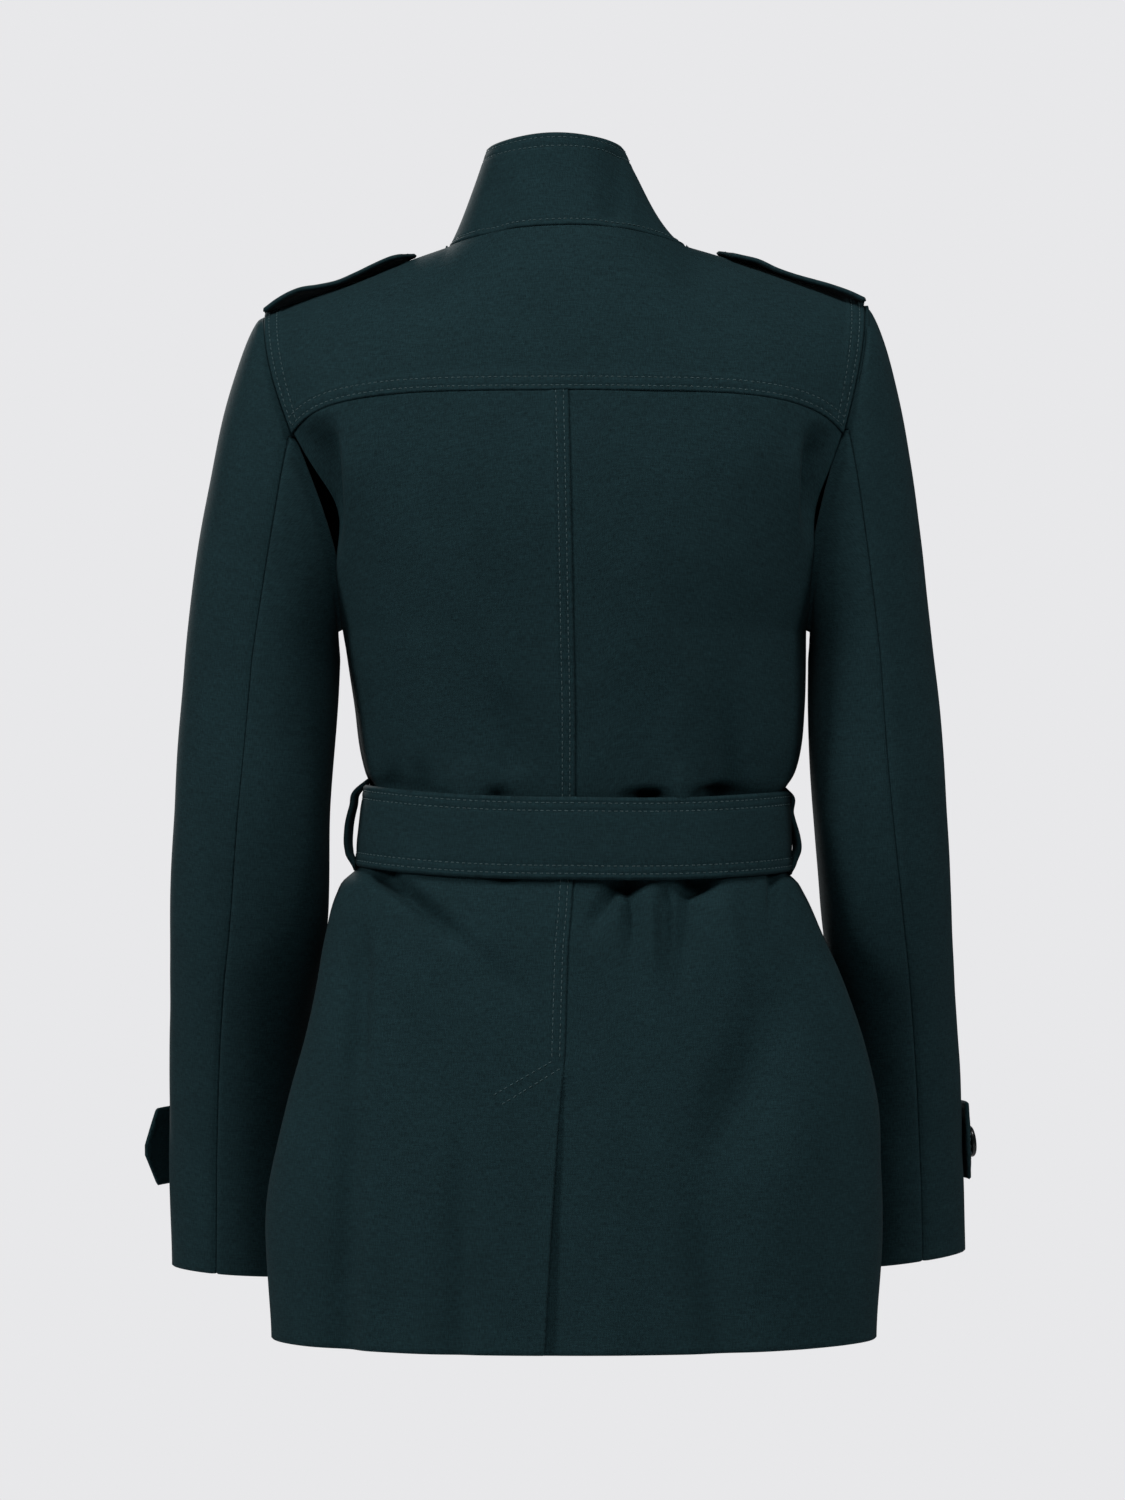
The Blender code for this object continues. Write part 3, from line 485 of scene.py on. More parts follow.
def sleeve_ring(side, turn, level):
    """Sleeve below the armhole: turn 0 is the outside, 90 the back, 180 the inside, 270 the front."""
    outer = column(SLEEVE, SIDE_NAMES[side] + "_out", level)
    inner = column(SLEEVE, SIDE_NAMES[side] + "_in", level)
    turn = np.radians(turn)
    near_cuff = ease((CUFF_TILT_FROM - level) / (CUFF_TILT_FROM - CUFF))
    x = (outer + inner) / 2 + (outer - inner) / 2 * np.cos(turn)
    y = column(SLEEVE, "middle", level) + column(SLEEVE, "deep", level) * np.sin(turn)
    return points(x, y, level + near_cuff * (CUFF_RISE[side] + CUFF_TILT[side] * np.cos(turn)))


def sleeve(side):
    """Surface of a sleeve: drop 0 to 1 runs from the armhole to the upper arm, 1 to 2 down to the cuff. Above
    the armhole it goes on under the body's edge."""
    def surface(turn, drop):
        turn, drop = paired(turn, drop)
        out, back, down = SLEEVE_HEAD
        around = np.radians(turn)
        away = unit(points(side * out, back * np.sin(around), down))
        start = armhole(side, turn) + SLEEVE_START * away
        end = sleeve_ring(side, turn, BICEP)
        length = size_of(end - start)[..., None]
        along = unit(sleeve_ring(side, turn, BICEP - 1) - end)
        leave, arrive = away * length * HEAD_PULL, along * length * ARM_PULL
        cap = hermite(start, end, leave, arrive, np.clip(drop, 0, 1)[..., None])
        under = np.clip(-drop, 0, 1) * SLEEVE_UNDER
        inward = points(-side * under, -np.sin(around) * under / 2, -np.cos(around) * under / 2)
        arm = sleeve_ring(side, turn, BICEP + (CUFF - BICEP) * np.clip(drop - 1, 0, 1))
        return np.where((drop > 1)[..., None], arm, cap + inward)
    return surface


def back_seam(drop):
    """How far round the sleeve its back seam lies."""
    return BACK_SEAM + BACK_SEAM_SWING * np.sin(np.pi * np.clip(drop / BACK_SEAM_SWING_END, 0, 1))


def pointed(share, from_share):
    """Width of a strap along its length, narrowing to a blunt point at its free end."""
    return 1 - (1 - STRAP_TIP_SHARE) * np.clip((share - from_share) / (1 - from_share), 0, 1)


def shoulder_strap(side):
    """Top of a shoulder strap, from the armhole (0) to its free end by the neck (1)."""
    def surface(share, across):
        share, across = paired(share, across)
        along = SHOULDER_STRAP_FROM + (SHOULDER_STRAP_TO - SHOULDER_STRAP_FROM) * share
        crest = shoulder_seam(side, along)
        half = (SHOULDER_STRAP_HALF - SHOULDER_STRAP_TAPER * share) * pointed(share, SHOULDER_STRAP_POINT)
        fall = np.where(across < 0, SHOULDER_STRAP_DROOP, SHOULDER_STRAP_ARCH)
        fall = fall * (half * across / SHOULDER_STRAP_HALF) ** 2
        return crest + points(0, half * across, column(SHOULDER_STRAP, SIDE_NAMES[side], share) - fall)
    return surface


def cuff_strap(side, wall):
    """Outer face of a cuff strap, from the front sleeve seam (0) to its free end on the outside (1)."""
    def free(share):
        return np.clip((share - CUFF_STRAP_LEAVES) / (1 - CUFF_STRAP_LEAVES), 0, 1) ** 2

    def on_sleeve(share, across):
        turn = CUFF_STRAP_FROM + (CUFF_STRAP_TO[side] - CUFF_STRAP_FROM) * share
        off_middle = CUFF_STRAP_HALF[side] * across * pointed(share, CUFF_STRAP_POINT)
        level = CUFF_STRAP_LEVEL[side] + off_middle - CUFF_STRAP_DROOP[side] * free(share)
        return sleeve_ring(side, turn, level)

    def lift(share, across, place):
        return STRAP_GAP + wall + CUFF_STRAP_TIP[side] * free(share)

    return skinned(on_sleeve, side, lift)


def belt_band(lift):
    """Surface of a band round the waist: angle round the body, and up from 0 to 1 over its width."""
    def off_body(angle, level):
        level = level - BELT_DROP * np.clip(-np.sin(np.radians(angle)), 0, 1)
        run = belt_line(angle + SMALL_STEP, level) - belt_line(angle - SMALL_STEP, level)
        return belt_line(angle, level) + lift * unit(np.cross((0, 0, 1), run))

    def surface(angle, up):
        angle, up = paired(angle, up)
        low = off_body(angle, BELT_BOTTOM)
        return low + (off_body(angle, BELT_TOP) - low) * up[..., None]
    return surface


# Creases, laps and seams


def creased(folds, x, z):
    """Lift of the cloth at places x, z that a table of folds gives."""
    lift = np.zeros(np.broadcast(x, z).shape)
    for fold in folds:
        run_x, run_z = fold.to_x - fold.x, fold.to_z - fold.z
        length = math.hypot(run_x, run_z)
        share = ((x - fold.x) * run_x + (z - fold.z) * run_z) / length**2
        off = ((x - fold.x) * -run_z + (z - fold.z) * run_x) / length
        wide = np.where(off > 0, fold.left, fold.right)
        starts = ease(share / ABRUPT + 1) if fold.grow == 0 else ease(share / fold.grow)
        ends = ease((1 - share) / ABRUPT + 1) if fold.fade == 0 else ease((1 - share) / fold.fade)
        lift = lift + fold.depth * starts * ends * np.exp(-((off / wide) ** 2))
    return lift


def swayed(place):
    """Slow unevenness of the cloth."""
    lift = 0
    for sway in SWAYS:
        turn = place[..., 0] / sway.x + place[..., 1] / sway.y + place[..., 2] / sway.z
        lift = lift + sway.height * np.sin(2 * np.pi * turn + sway.phase)
    return lift


def grooved(distance, rows):
    """Lift of cloth that rows of stitches draw in, by the distance from its edge."""
    lift = 0
    for row in rows:
        lift = lift - GROOVE_DEPTH * np.exp(-(((distance - row) / GROOVE_WIDTH) ** 2))
    return lift


def welted(distance, rows):
    """Lift of a topstitched seam: raised over the turned-in allowance, and drawn in at each row."""
    return WELT_LIFT * (1 - ease((distance - rows[-1] - 1) / WELT_FALL)) + grooved(distance, rows)


def tucked(distance):
    """Lift of cloth that runs under its neighbour: the distance is positive on the part that shows."""
    return -TUCK_DEPTH * (1 - ease((distance + 1) / TUCK_TURN))


def apart(surface, place, u, v):
    """Distance of each place from the surface at u, v."""
    return size_of(place - surface(u, v))


def stops(curve, start, end, step=STEP, ends=(False, False)):
    """Parameters from start to end, a step apart along the cloth and closer by an end that is worked."""
    t = np.linspace(start, end, 800)
    at = walked(curve(t))
    fine = np.arange(0, WORKED, FINE_STEP)
    head = fine if ends[0] else fine[:1]
    tail = at[-1] - (fine if ends[1] else fine[:1])[::-1]
    count = max(2, math.ceil((tail[0] - head[-1]) / step) + 1)
    distances = np.concatenate([head[:-1], np.linspace(head[-1], tail[0], count), tail[1:]])
    return np.interp(distances, at, t)


# Meshes


def quad_mesh(name, corners, faces, weave=None):
    """A smooth mesh of quads from arrays, in millimetres, with its places on the cloth in metres as a map."""
    corners = np.asarray(corners, float).reshape(-1, 3)
    faces = np.asarray(faces, np.int32).reshape(-1, 4)
    mesh = bpy.data.meshes.new(name)
    mesh.vertices.add(len(corners))
    mesh.vertices.foreach_set("co", (corners * MM).astype(np.float32).ravel())
    mesh.loops.add(faces.size)
    mesh.loops.foreach_set("vertex_index", faces.ravel())
    mesh.polygons.add(len(faces))
    mesh.polygons.foreach_set("loop_start", np.arange(0, faces.size, 4, dtype=np.int32))
    mesh.update(calc_edges=True)
    mesh.validate()
    if weave is not None:
        layer = mesh.uv_layers.new(name="weave")
        layer.uv.foreach_set("vector", weave.reshape(-1, 2)[faces.ravel()].astype(np.float32).ravel())
    mesh.shade_smooth()
    return mesh


def yarn_map(plain, grain, level, start):
    """Places on the flat cloth in metres: the warp runs straight down the piece at its grain share, and the
    weft straight across it, level where the piece hangs. Start is where its first edge lies, by rows."""
    width = np.cumsum(np.insert(size_of(np.diff(plain, axis=0)), 0, 0, axis=0), axis=0)
    middle = round(grain * (len(plain) - 1))
    length = np.cumsum(np.insert(size_of(np.diff(plain, axis=1)), 0, 0, axis=1), axis=1)
    if level:
        rise = plain[:, 0, 2] - plain[middle, 0, 2]
        length = length + np.sign(plain[middle, -1, 2] - plain[middle, 0, 2]) * rise[:, None]
    return np.stack([width - width[middle] + start, length], axis=-1).reshape(-1, 2) * MM


def shell(name, outer, out, wall, weave):
    """A closed cloth shell on a grid of outer points, with a rounded rim."""
    du = np.gradient(outer, axis=0)
    dv = np.gradient(outer, axis=1)
    normal = out * unit(np.cross(du, dv))
    inner = outer - wall * normal
    columns, rows = outer.shape[:2]
    number = np.arange(columns * rows).reshape(columns, rows)
    round_it = np.concatenate([number[:-1, 0], number[-1, :-1], number[:0:-1, -1], number[0, :0:-1]])
    push = np.zeros_like(outer)
    push[0] -= unit(du[0])
    push[-1] += unit(du[-1])
    push[:, 0] -= unit(dv[:, 0])
    push[:, -1] += unit(dv[:, -1])
    flat = (outer.reshape(-1, 3) + inner.reshape(-1, 3)) / 2
    rim = flat[round_it] + unit(push.reshape(-1, 3)[round_it]) * wall / 2
    count = columns * rows
    around = np.arange(len(round_it))
    following = np.roll(around, -1)
    grid = np.stack([number[:-1, :-1], number[1:, :-1], number[1:, 1:], number[:-1, 1:]], axis=-1)
    grid = grid.reshape(-1, 4)
    edge, middle = round_it, 2 * count + around
    upper_rim = np.stack([edge[following], edge, middle, middle[following]], axis=-1)
    lower_rim = np.stack([middle[following], middle, edge + count, edge[following] + count], axis=-1)
    faces = np.concatenate([grid, grid[:, ::-1] + count, upper_rim, lower_rim])
    if out < 0:
        faces = faces[:, ::-1]
    corners = np.concatenate([outer.reshape(-1, 3), inner.reshape(-1, 3), rim])
    return quad_mesh(name, corners, faces, np.concatenate([weave, weave, weave[round_it]]))


def add_piece(name, mesh, material, node=None):
    """Add a piece to the scene, on the frame's body, in place of its node."""
    piece = bpy.data.objects.new(name, mesh)
    bpy.context.scene.collection.objects.link(piece)
    piece.data.materials.clear()
    piece.data.materials.append(material)
    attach(piece, BODY_NAME)
    if node:
        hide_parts(node)
    return piece


def add_cloth(node, surface, relief, us, vs, out, wall, material, stitching=(), grain=0.5,
              level=True, start=0):
    """Add a cloth piece in place of its node, with its rows of stitches."""
    u, v = np.meshgrid(us, vs, indexing="ij")
    skin = skinned(surface, out, relief)
    outer = skin(u, v)
    mesh = shell(node + "_cloth", outer, out, wall, yarn_map(surface(u, v), grain, level, start))
    piece = add_piece(node + "_cloth", mesh, material, node)
    if stitching:
        mesh = stitch_mesh(node + "_stitches", skin, out, stitching)
        add_piece(node + "_stitches", mesh, thread_material())
    return piece


# Along a stitch: shares of its length, its rise off the cloth and its girth there, in half thicknesses
STITCH_SHARES = np.array((0, 0.16, 0.5, 0.84, 1))
STITCH_RISES = np.array((-0.9, 0.35, 0.75, 0.35, -0.9))
STITCH_GIRTHS = np.array((0.6, 0.95, 1, 0.95, 0.6))
THREAD_SIDES = 6

# How unevenly stitches are spaced, sized and turned
STITCH_SLIP, STITCH_SPANS, STITCH_SWING = 0.07, (0.9, 1.08), 0.06


def stitch_faces():
    """Quads of one stitch: round its rings, then two to close each end."""
    n, last = THREAD_SIDES, (len(STITCH_SHARES) - 1) * THREAD_SIDES
    faces = [(a + s, a + (s + 1) % n, a + n + (s + 1) % n, a + n + s)
             for a in range(0, last, n) for s in range(n)]
    faces += [(3, 2, 1, 0), (5, 4, 3, 0)]
    faces += [(last, last + 1, last + 2, last + 3), (last, last + 3, last + 4, last + 5)]
    return np.array(faces)


def stitch_mesh(name, skin, out, rows):
    """Running stitches along rows of u, v places on a skin: short threads that dip at both ends."""
    sizes = bpy.context.scene.jacket_sizes
    pitch, long, thick = sizes.stitch_pitch / MM, sizes.stitch_length / MM, sizes.thread / MM / 2
    rise, thin = thick * STITCH_RISES, thick * STITCH_GIRTHS
    turn = np.arange(THREAD_SIDES) * 2 * np.pi / THREAD_SIDES
    one, places_each = stitch_faces(), len(STITCH_SHARES) * THREAD_SIDES
    corners, faces, count = [], [], 0
    uneven = np.random.default_rng(7)
    for u, v in rows:
        line = skin(u, v)
        normal = facing(skin, out, u, v)
        at = walked(line)
        number = max(1, int(at[-1] // pitch))
        middle = (np.arange(number) + 0.5) * at[-1] / number + uneven.normal(0, STITCH_SLIP * pitch, number)
        spans = long * uneven.uniform(*STITCH_SPANS, number)
        s = middle[:, None] + spans[:, None] * (STITCH_SHARES - 0.5)

        def read(values, where):
            return np.stack([np.interp(where, at, values[:, i]) for i in range(3)], axis=-1)

        centre, up = read(line, s), unit(read(normal, s))
        ahead = unit(read(line, s + pitch / 8) - read(line, s - pitch / 8))
        aside = unit(np.cross(ahead, up))
        swing = uneven.normal(0, STITCH_SWING, number)[:, None] * (s - middle[:, None])
        centre = centre + up * rise[:, None] + swing[..., None] * aside
        spoke = np.cos(turn)[:, None] * aside[:, :, None] + np.sin(turn)[:, None] * up[:, :, None]
        places = centre[:, :, None] + spoke * thin[:, None, None]
        corners.append(places.reshape(-1, 3))
        faces.append((one[None] + (count + places_each * np.arange(number))[:, None, None]).reshape(-1, 4))
        count += places_each * number
    return quad_mesh(name, np.concatenate(corners), np.concatenate(faces))


# Finishes


VALUE, PLACE = "NodeSocketFloat", "NodeSocketVector"


def new_group(name, inputs, outputs):
    """A shader node group with its named sockets; inputs are (name, kind, default)."""
    group = bpy.data.node_groups.new(name, "ShaderNodeTree")
    for label, kind, default in inputs:
        socket = group.interface.new_socket(label, in_out="INPUT", socket_type=kind)
        if default is not None:
            socket.default_value = default
    for label, kind in outputs:
        group.interface.new_socket(label, in_out="OUTPUT", socket_type=kind)
    return group, group.nodes.new("NodeGroupInput"), group.nodes.new("NodeGroupOutput")


def fed(tree, node, values):
    """A node's result, its inputs fed in turn by sockets or numbers."""
    for socket, value in zip(node.inputs, values):
        if isinstance(value, (int, float)):
            socket.default_value = value
        else:
            tree.links.new(value, socket)
    return node.outputs[0]


def calculate(tree, operation, *values):
    node = tree.nodes.new("ShaderNodeMath")
    node.operation = operation
    return fed(tree, node, values)


def noise(tree, vector, scale, detail, roughness=0.55):
    node = tree.nodes.new("ShaderNodeTexNoise")
    node.inputs["Scale"].default_value = scale
    node.inputs["Detail"].default_value = detail
    node.inputs["Roughness"].default_value = roughness
    tree.links.new(vector, node.inputs["Vector"])
    return node.outputs["Fac"]


def combine(tree, *values):
    return fed(tree, tree.nodes.new("ShaderNodeCombineXYZ"), values)


# Slubs of the yarns: their size across a yarn, how much slower they change along it, where in the noise the
# weft reads, the weight of the warp beside it, and the share of the crossings in the height
SLUB_SCALE, SLUB_STRETCH, WEFT_APART, WARP_WEIGHT, CROSSING = 0.9, 0.16, 9.5, 1.25, 0.35


def weave_group():
    """Plain weave of slubby yarns: a tone around 1 and a height, from places on the cloth in metres."""
    name = "Woven yarns"
    if name in bpy.data.node_groups:
        return bpy.data.node_groups[name]
    group, given, result = new_group(
        name,
        (("Place", PLACE, None), ("Yarn", VALUE, 0.0005), ("Slub", VALUE, 1.0)),
        (("Tone", VALUE), ("Height", VALUE)),
    )
    split = group.nodes.new("ShaderNodeSeparateXYZ")
    group.links.new(given.outputs["Place"], split.inputs[0])
    warp = calculate(group, "DIVIDE", split.outputs[0], given.outputs["Yarn"])
    weft = calculate(group, "DIVIDE", split.outputs[1], given.outputs["Yarn"])
    warp_slow = calculate(group, "MULTIPLY", warp, SLUB_STRETCH)
    weft_slow = calculate(group, "MULTIPLY", weft, SLUB_STRETCH)
    warp_slubs = noise(group, combine(group, warp, weft_slow, 0), SLUB_SCALE, 1)
    weft_slubs = noise(group, combine(group, warp_slow, weft, WEFT_APART), SLUB_SCALE, 1)
    both = calculate(group, "MULTIPLY_ADD", warp_slubs, WARP_WEIGHT, weft_slubs)
    slubs = calculate(group, "SUBTRACT", both, (1 + WARP_WEIGHT) / 2)
    tone = calculate(group, "MULTIPLY_ADD", slubs, given.outputs["Slub"], 1)
    group.links.new(tone, result.inputs["Tone"])
    over = calculate(group, "SINE", calculate(group, "MULTIPLY", warp, math.pi))
    under = calculate(group, "SINE", calculate(group, "MULTIPLY", weft, math.pi))
    crossing = calculate(group, "MULTIPLY", over, under)
    height = calculate(group, "MULTIPLY_ADD", crossing, CROSSING, slubs)
    group.links.new(height, result.inputs["Height"])
    return group


def mottle_group():
    """Uneven tone of a dyed or moulded surface: a value around 1 from places in metres."""
    name = "Uneven tone"
    if name in bpy.data.node_groups:
        return bpy.data.node_groups[name]
    group, given, result = new_group(
        name,
        (("Place", PLACE, None), ("Size", VALUE, 0.03), ("Depth", VALUE, 0.2)),
        (("Tone", VALUE),),
    )
    scaled = group.nodes.new("ShaderNodeVectorMath")
    scaled.operation = "SCALE"
    group.links.new(given.outputs["Place"], scaled.inputs[0])
    group.links.new(calculate(group, "DIVIDE", 1, given.outputs["Size"]), scaled.inputs["Scale"])
    cloudy = calculate(group, "SUBTRACT", noise(group, scaled.outputs[0], 1, 3), 0.5)
    tone = calculate(group, "MULTIPLY_ADD", cloudy, given.outputs["Depth"], 1)
    group.links.new(tone, result.inputs["Tone"])
    return group


def place_group(tree, group, place, **values):
    """Put a node group into a material and set its inputs."""
    node = tree.nodes.new("ShaderNodeGroup")
    node.node_tree = group
    tree.links.new(place, node.inputs["Place"])
    for label, value in values.items():
        node.inputs[label].default_value = value
    return node


def clouded(tree, size, depth):
    """Uneven tone over the object's own space."""
    place = tree.nodes.new("ShaderNodeTexCoord").outputs["Object"]
    return place_group(tree, mottle_group(), place, Size=size, Depth=depth).outputs["Tone"]


def toned(tree, colour, *tones):
    """A colour darkened and lightened by tones around 1."""
    total = tones[0]
    for tone in tones[1:]:
        total = calculate(tree, "MULTIPLY", total, tone)
    mix = tree.nodes.new("ShaderNodeMix")
    mix.data_type = "RGBA"
    mix.blend_type = "MULTIPLY"
    mix.inputs["Factor"].default_value = 1
    mix.inputs["A"].default_value = (*colour, 1)
    grey = combine(tree, total, total, total)
    tree.links.new(grey, mix.inputs["B"])
    return mix.outputs["Result"]


def bumped(tree, shader, height, strength, distance):
    bump = tree.nodes.new("ShaderNodeBump")
    bump.inputs["Strength"].default_value = strength
    bump.inputs["Distance"].default_value = distance
    tree.links.new(height, bump.inputs["Height"])
    tree.links.new(bump.outputs["Normal"], shader.inputs["Normal"])


def new_material(name, **values):
    """A material with its shader's constant values; returns it with its tree and shader."""
    material = bpy.data.materials.new(name)
    material.use_nodes = True
    shader = material.node_tree.nodes["Principled BSDF"]
    for label, value in values.items():
        shader.inputs[label.replace("_", " ")].default_value = value
    return material, material.node_tree, shader


def woven_material(name, slub, bump):
    """Dark woven cotton with slubs, its places read from the cloth's own map."""
    if name in bpy.data.materials:
        return bpy.data.materials[name]
    colours, sizes = bpy.context.scene.jacket_colours, bpy.context.scene.jacket_sizes
    material, tree, shader = new_material(name, Roughness=0.9, Sheen_Weight=0.008, Sheen_Roughness=0.4)
    shader.inputs["Specular IOR Level"].default_value = 0.12
    on_cloth = tree.nodes.new("ShaderNodeUVMap")
    on_cloth.uv_map = "weave"
    weave = place_group(tree, weave_group(), on_cloth.outputs["UV"], Yarn=sizes.yarn, Slub=slub)
    colour = toned(tree, colours.cloth, weave.outputs["Tone"], clouded(tree, 0.035, 0.28))
    tree.links.new(colour, shader.inputs["Base Color"])
    bumped(tree, shader, weave.outputs["Height"], bump, 0.0003)
    return material


def panel_cloth():
    return woven_material("panel_cloth", 0.88, 0.15)


def doubled_cloth():
    return woven_material("doubled_cloth", 0.82, 0.15)


def thread_material():
    """Topstitching thread, a lighter shade of the cloth."""
    name = "stitching_thread"
    if name in bpy.data.materials:
        return bpy.data.materials[name]
    material, tree, shader = new_material(name, Roughness=0.6, Sheen_Weight=0.1)
    colour = toned(tree, bpy.context.scene.jacket_colours.thread, clouded(tree, 0.006, 0.7))
    tree.links.new(colour, shader.inputs["Base Color"])
    return material


def polished_material(name, colour, roughness, size):
    """Dark moulded resin with clouded tone and slightly uneven polish."""
    if name in bpy.data.materials:
        return bpy.data.materials[name]
    material, tree, shader = new_material(name, Coat_Weight=0.25, Coat_Roughness=0.2)
    clouds = clouded(tree, size, 1.3)
    tree.links.new(toned(tree, colour, clouds), shader.inputs["Base Color"])
    tree.links.new(calculate(tree, "MULTIPLY", clouds, roughness), shader.inputs["Roughness"])
    bumped(tree, shader, clouds, 0.08, 0.0002)
    return material


# Sizes and colours that a user would change


class JacketSizes(bpy.types.PropertyGroup):
    """Thicknesses and the scale of yarn and stitching."""
    wall: FloatProperty(name="Cloth", description="Thickness of one layer of cloth",
                        default=0.0015, min=0.0005, max=0.003, unit="LENGTH", precision=4)
    collar_wall: FloatProperty(name="Collar", description="Thickness of the collar",
                               default=0.0026, min=0.001, max=0.004, unit="LENGTH", precision=4)
    strap_wall: FloatProperty(name="Straps", description="Thickness of the shoulder and cuff straps",
                              default=0.0025, min=0.001, max=0.004, unit="LENGTH", precision=4)
    yarn: FloatProperty(name="Yarn", description="Distance between neighbouring yarns",
                        default=0.00055, min=0.0002, max=0.002, unit="LENGTH", precision=5)
    stitch_length: FloatProperty(name="Stitch length", description="Visible length of a stitch",
                                 default=0.0024, min=0.001, max=0.006, unit="LENGTH", precision=4)
    stitch_pitch: FloatProperty(name="Stitch pitch", description="Distance from stitch to stitch",
                                default=0.0037, min=0.0015, max=0.008, unit="LENGTH", precision=4)
    thread: FloatProperty(name="Thread", description="Thickness of the stitching thread",
                          default=0.00058, min=0.0002, max=0.0015, unit="LENGTH", precision=5)


class JacketColours(bpy.types.PropertyGroup):
    """Colours of the finishes and the stage."""
    cloth: FloatVectorProperty(name="Cloth", description="Colour of the woven cloth", subtype="COLOR",
                               default=(0.0118, 0.0335, 0.0395), min=0, max=1)
    thread: FloatVectorProperty(name="Thread", description="Colour of the topstitching", subtype="COLOR",
                                default=(0.036, 0.084, 0.094), min=0, max=1)
    button: FloatVectorProperty(name="Buttons", description="Colour of the buttons", subtype="COLOR",
                                default=FINISHES["button_horn"]["base_color"], min=0, max=1)
    buckle: FloatVectorProperty(name="Buckle", description="Colour of the buckle", subtype="COLOR",
                                default=FINISHES["buckle_resin"]["base_color"], min=0, max=1)
    ground: FloatVectorProperty(name="Ground", description="Colour behind the jacket", subtype="COLOR",
                                default=(0.807, 0.807, 0.823), min=0, max=1)
    floor: FloatVectorProperty(name="Floor", description="Colour of the floor", subtype="COLOR",
                               default=(0.72, 0.72, 0.73), min=0, max=1)


class JacketStage(bpy.types.PropertyGroup):
    """Camera and light."""
    distance: FloatProperty(name="Camera distance", description="Distance of the camera behind the jacket",
                            default=4.0, min=1, max=20, unit="LENGTH")
    frame_height: FloatProperty(name="Frame height", description="Height that the frame takes in",
                                default=0.93, min=0.3, max=5, unit="LENGTH")
    left: FloatProperty(name="Left light", description="Power of the soft light at the wearer's left",
                        default=45, min=0, max=1000, unit="POWER")
    right: FloatProperty(name="Right light", description="Power of the soft light at the wearer's right",
                         default=25, min=0, max=1000, unit="POWER")
    top: FloatProperty(name="Top light", description="Power of the soft light overhead",
                       default=31, min=0, max=1000, unit="POWER")
    front: FloatProperty(name="Front light", description="Power of the soft light before the jacket",
                         default=70, min=0, max=1000, unit="POWER")
    surround: FloatProperty(name="Surround", description="Strength of the light from all round",
                            default=0.015, min=0, max=5, subtype="FACTOR")


# Operators


class JACKET_OT_stage(bpy.types.Operator):
    """Make the camera, the light and the floor"""
    bl_idname = "jacket.stage"
    bl_label = "Stage"

    SIGHT, SENSOR = (2.8, 0, -316.2), 36
    FLOOR_LEVEL, FLOOR_RADIUS, FLOOR_SIDES, FLOOR_GLOW = -1500, 5000, 96, 0.5
    # Place and width of each light in metres, by the name of its power
    LIGHTS = {
        "left": ((3.0, 1.7, 1.0), 0.9),
        "right": ((-3.05, 1.5, 1.0), 1.0),
        "top": ((0.0, 1.35, 2.05), 1.2),
        "front": ((1.2, -3.2, 1.0), 1.2),
    }

    def execute(self, context):
        stage, colours = context.scene.jacket_stage, context.scene.jacket_colours
        self.add_camera(context, stage)
        self.add_surround(context, stage, colours)
        for name, (place, size) in self.LIGHTS.items():
            self.add_light(context, name + "_light", place, size, getattr(stage, name))
        self.add_floor(context, colours)
        context.scene.view_settings.view_transform = "Standard"
        return {"FINISHED"}

    def add_camera(self, context, stage):
        data = bpy.data.cameras.new("camera")
        data.sensor_width = self.SENSOR
        data.lens = data.sensor_width * stage.distance / stage.frame_height
        camera = bpy.data.objects.new("camera", data)
        camera.location = Vector(self.SIGHT) * MM + Vector((0, stage.distance, 0))
        camera.rotation_euler = (math.pi / 2, 0, math.pi)
        context.scene.collection.objects.link(camera)
        context.scene.camera = camera

    def add_surround(self, context, stage, colours):
        world = bpy.data.worlds.new("surround")
        world.use_nodes = True
        tree = world.node_tree
        seen = tree.nodes["Background"]
        seen.inputs["Color"].default_value = (*colours.ground, 1)
        soft = tree.nodes.new("ShaderNodeBackground")
        soft.inputs["Color"].default_value = (*colours.ground, 1)
        soft.inputs["Strength"].default_value = stage.surround
        path = tree.nodes.new("ShaderNodeLightPath")
        mix = tree.nodes.new("ShaderNodeMixShader")
        tree.links.new(path.outputs["Is Camera Ray"], mix.inputs[0])
        tree.links.new(soft.outputs[0], mix.inputs[1])
        tree.links.new(seen.outputs[0], mix.inputs[2])
        tree.links.new(mix.outputs[0], tree.nodes["World Output"].inputs["Surface"])
        context.scene.world = world

    def add_light(self, context, name, place, size, power):
        data = bpy.data.lights.new(name, "AREA")
        data.shape = "DISK"
        data.size = size
        data.energy = power
        light = bpy.data.objects.new(name, data)
        light.location = place
        light.rotation_mode = "QUATERNION"
        to_jacket = Vector(self.SIGHT) * MM - Vector(place)
        light.rotation_quaternion = to_jacket.to_track_quat("-Z", "Y")
        context.scene.collection.objects.link(light)

    def add_floor(self, context, colours):
        shape = bmesh.new()
        bmesh.ops.create_circle(shape, cap_ends=True, segments=self.FLOOR_SIDES,
                                radius=self.FLOOR_RADIUS * MM)
        mesh = bpy.data.meshes.new("floor")
        shape.to_mesh(mesh)
        shape.free()
        floor = bpy.data.objects.new("floor", mesh)
        floor.location = (0, 0, self.FLOOR_LEVEL * MM)
        context.scene.collection.objects.link(floor)
        material, tree, shader = new_material("floor", Roughness=0.9)
        shader.inputs["Emission Strength"].default_value = self.FLOOR_GLOW
        path = tree.nodes.new("ShaderNodeLightPath")
        tree.links.new(path.outputs["Is Camera Ray"], shader.inputs["Emission Color"])
        colour = toned(tree, colours.floor, clouded(tree, 0.6, 0.06))
        tree.links.new(colour, shader.inputs["Base Color"])
        mesh.materials.append(material)


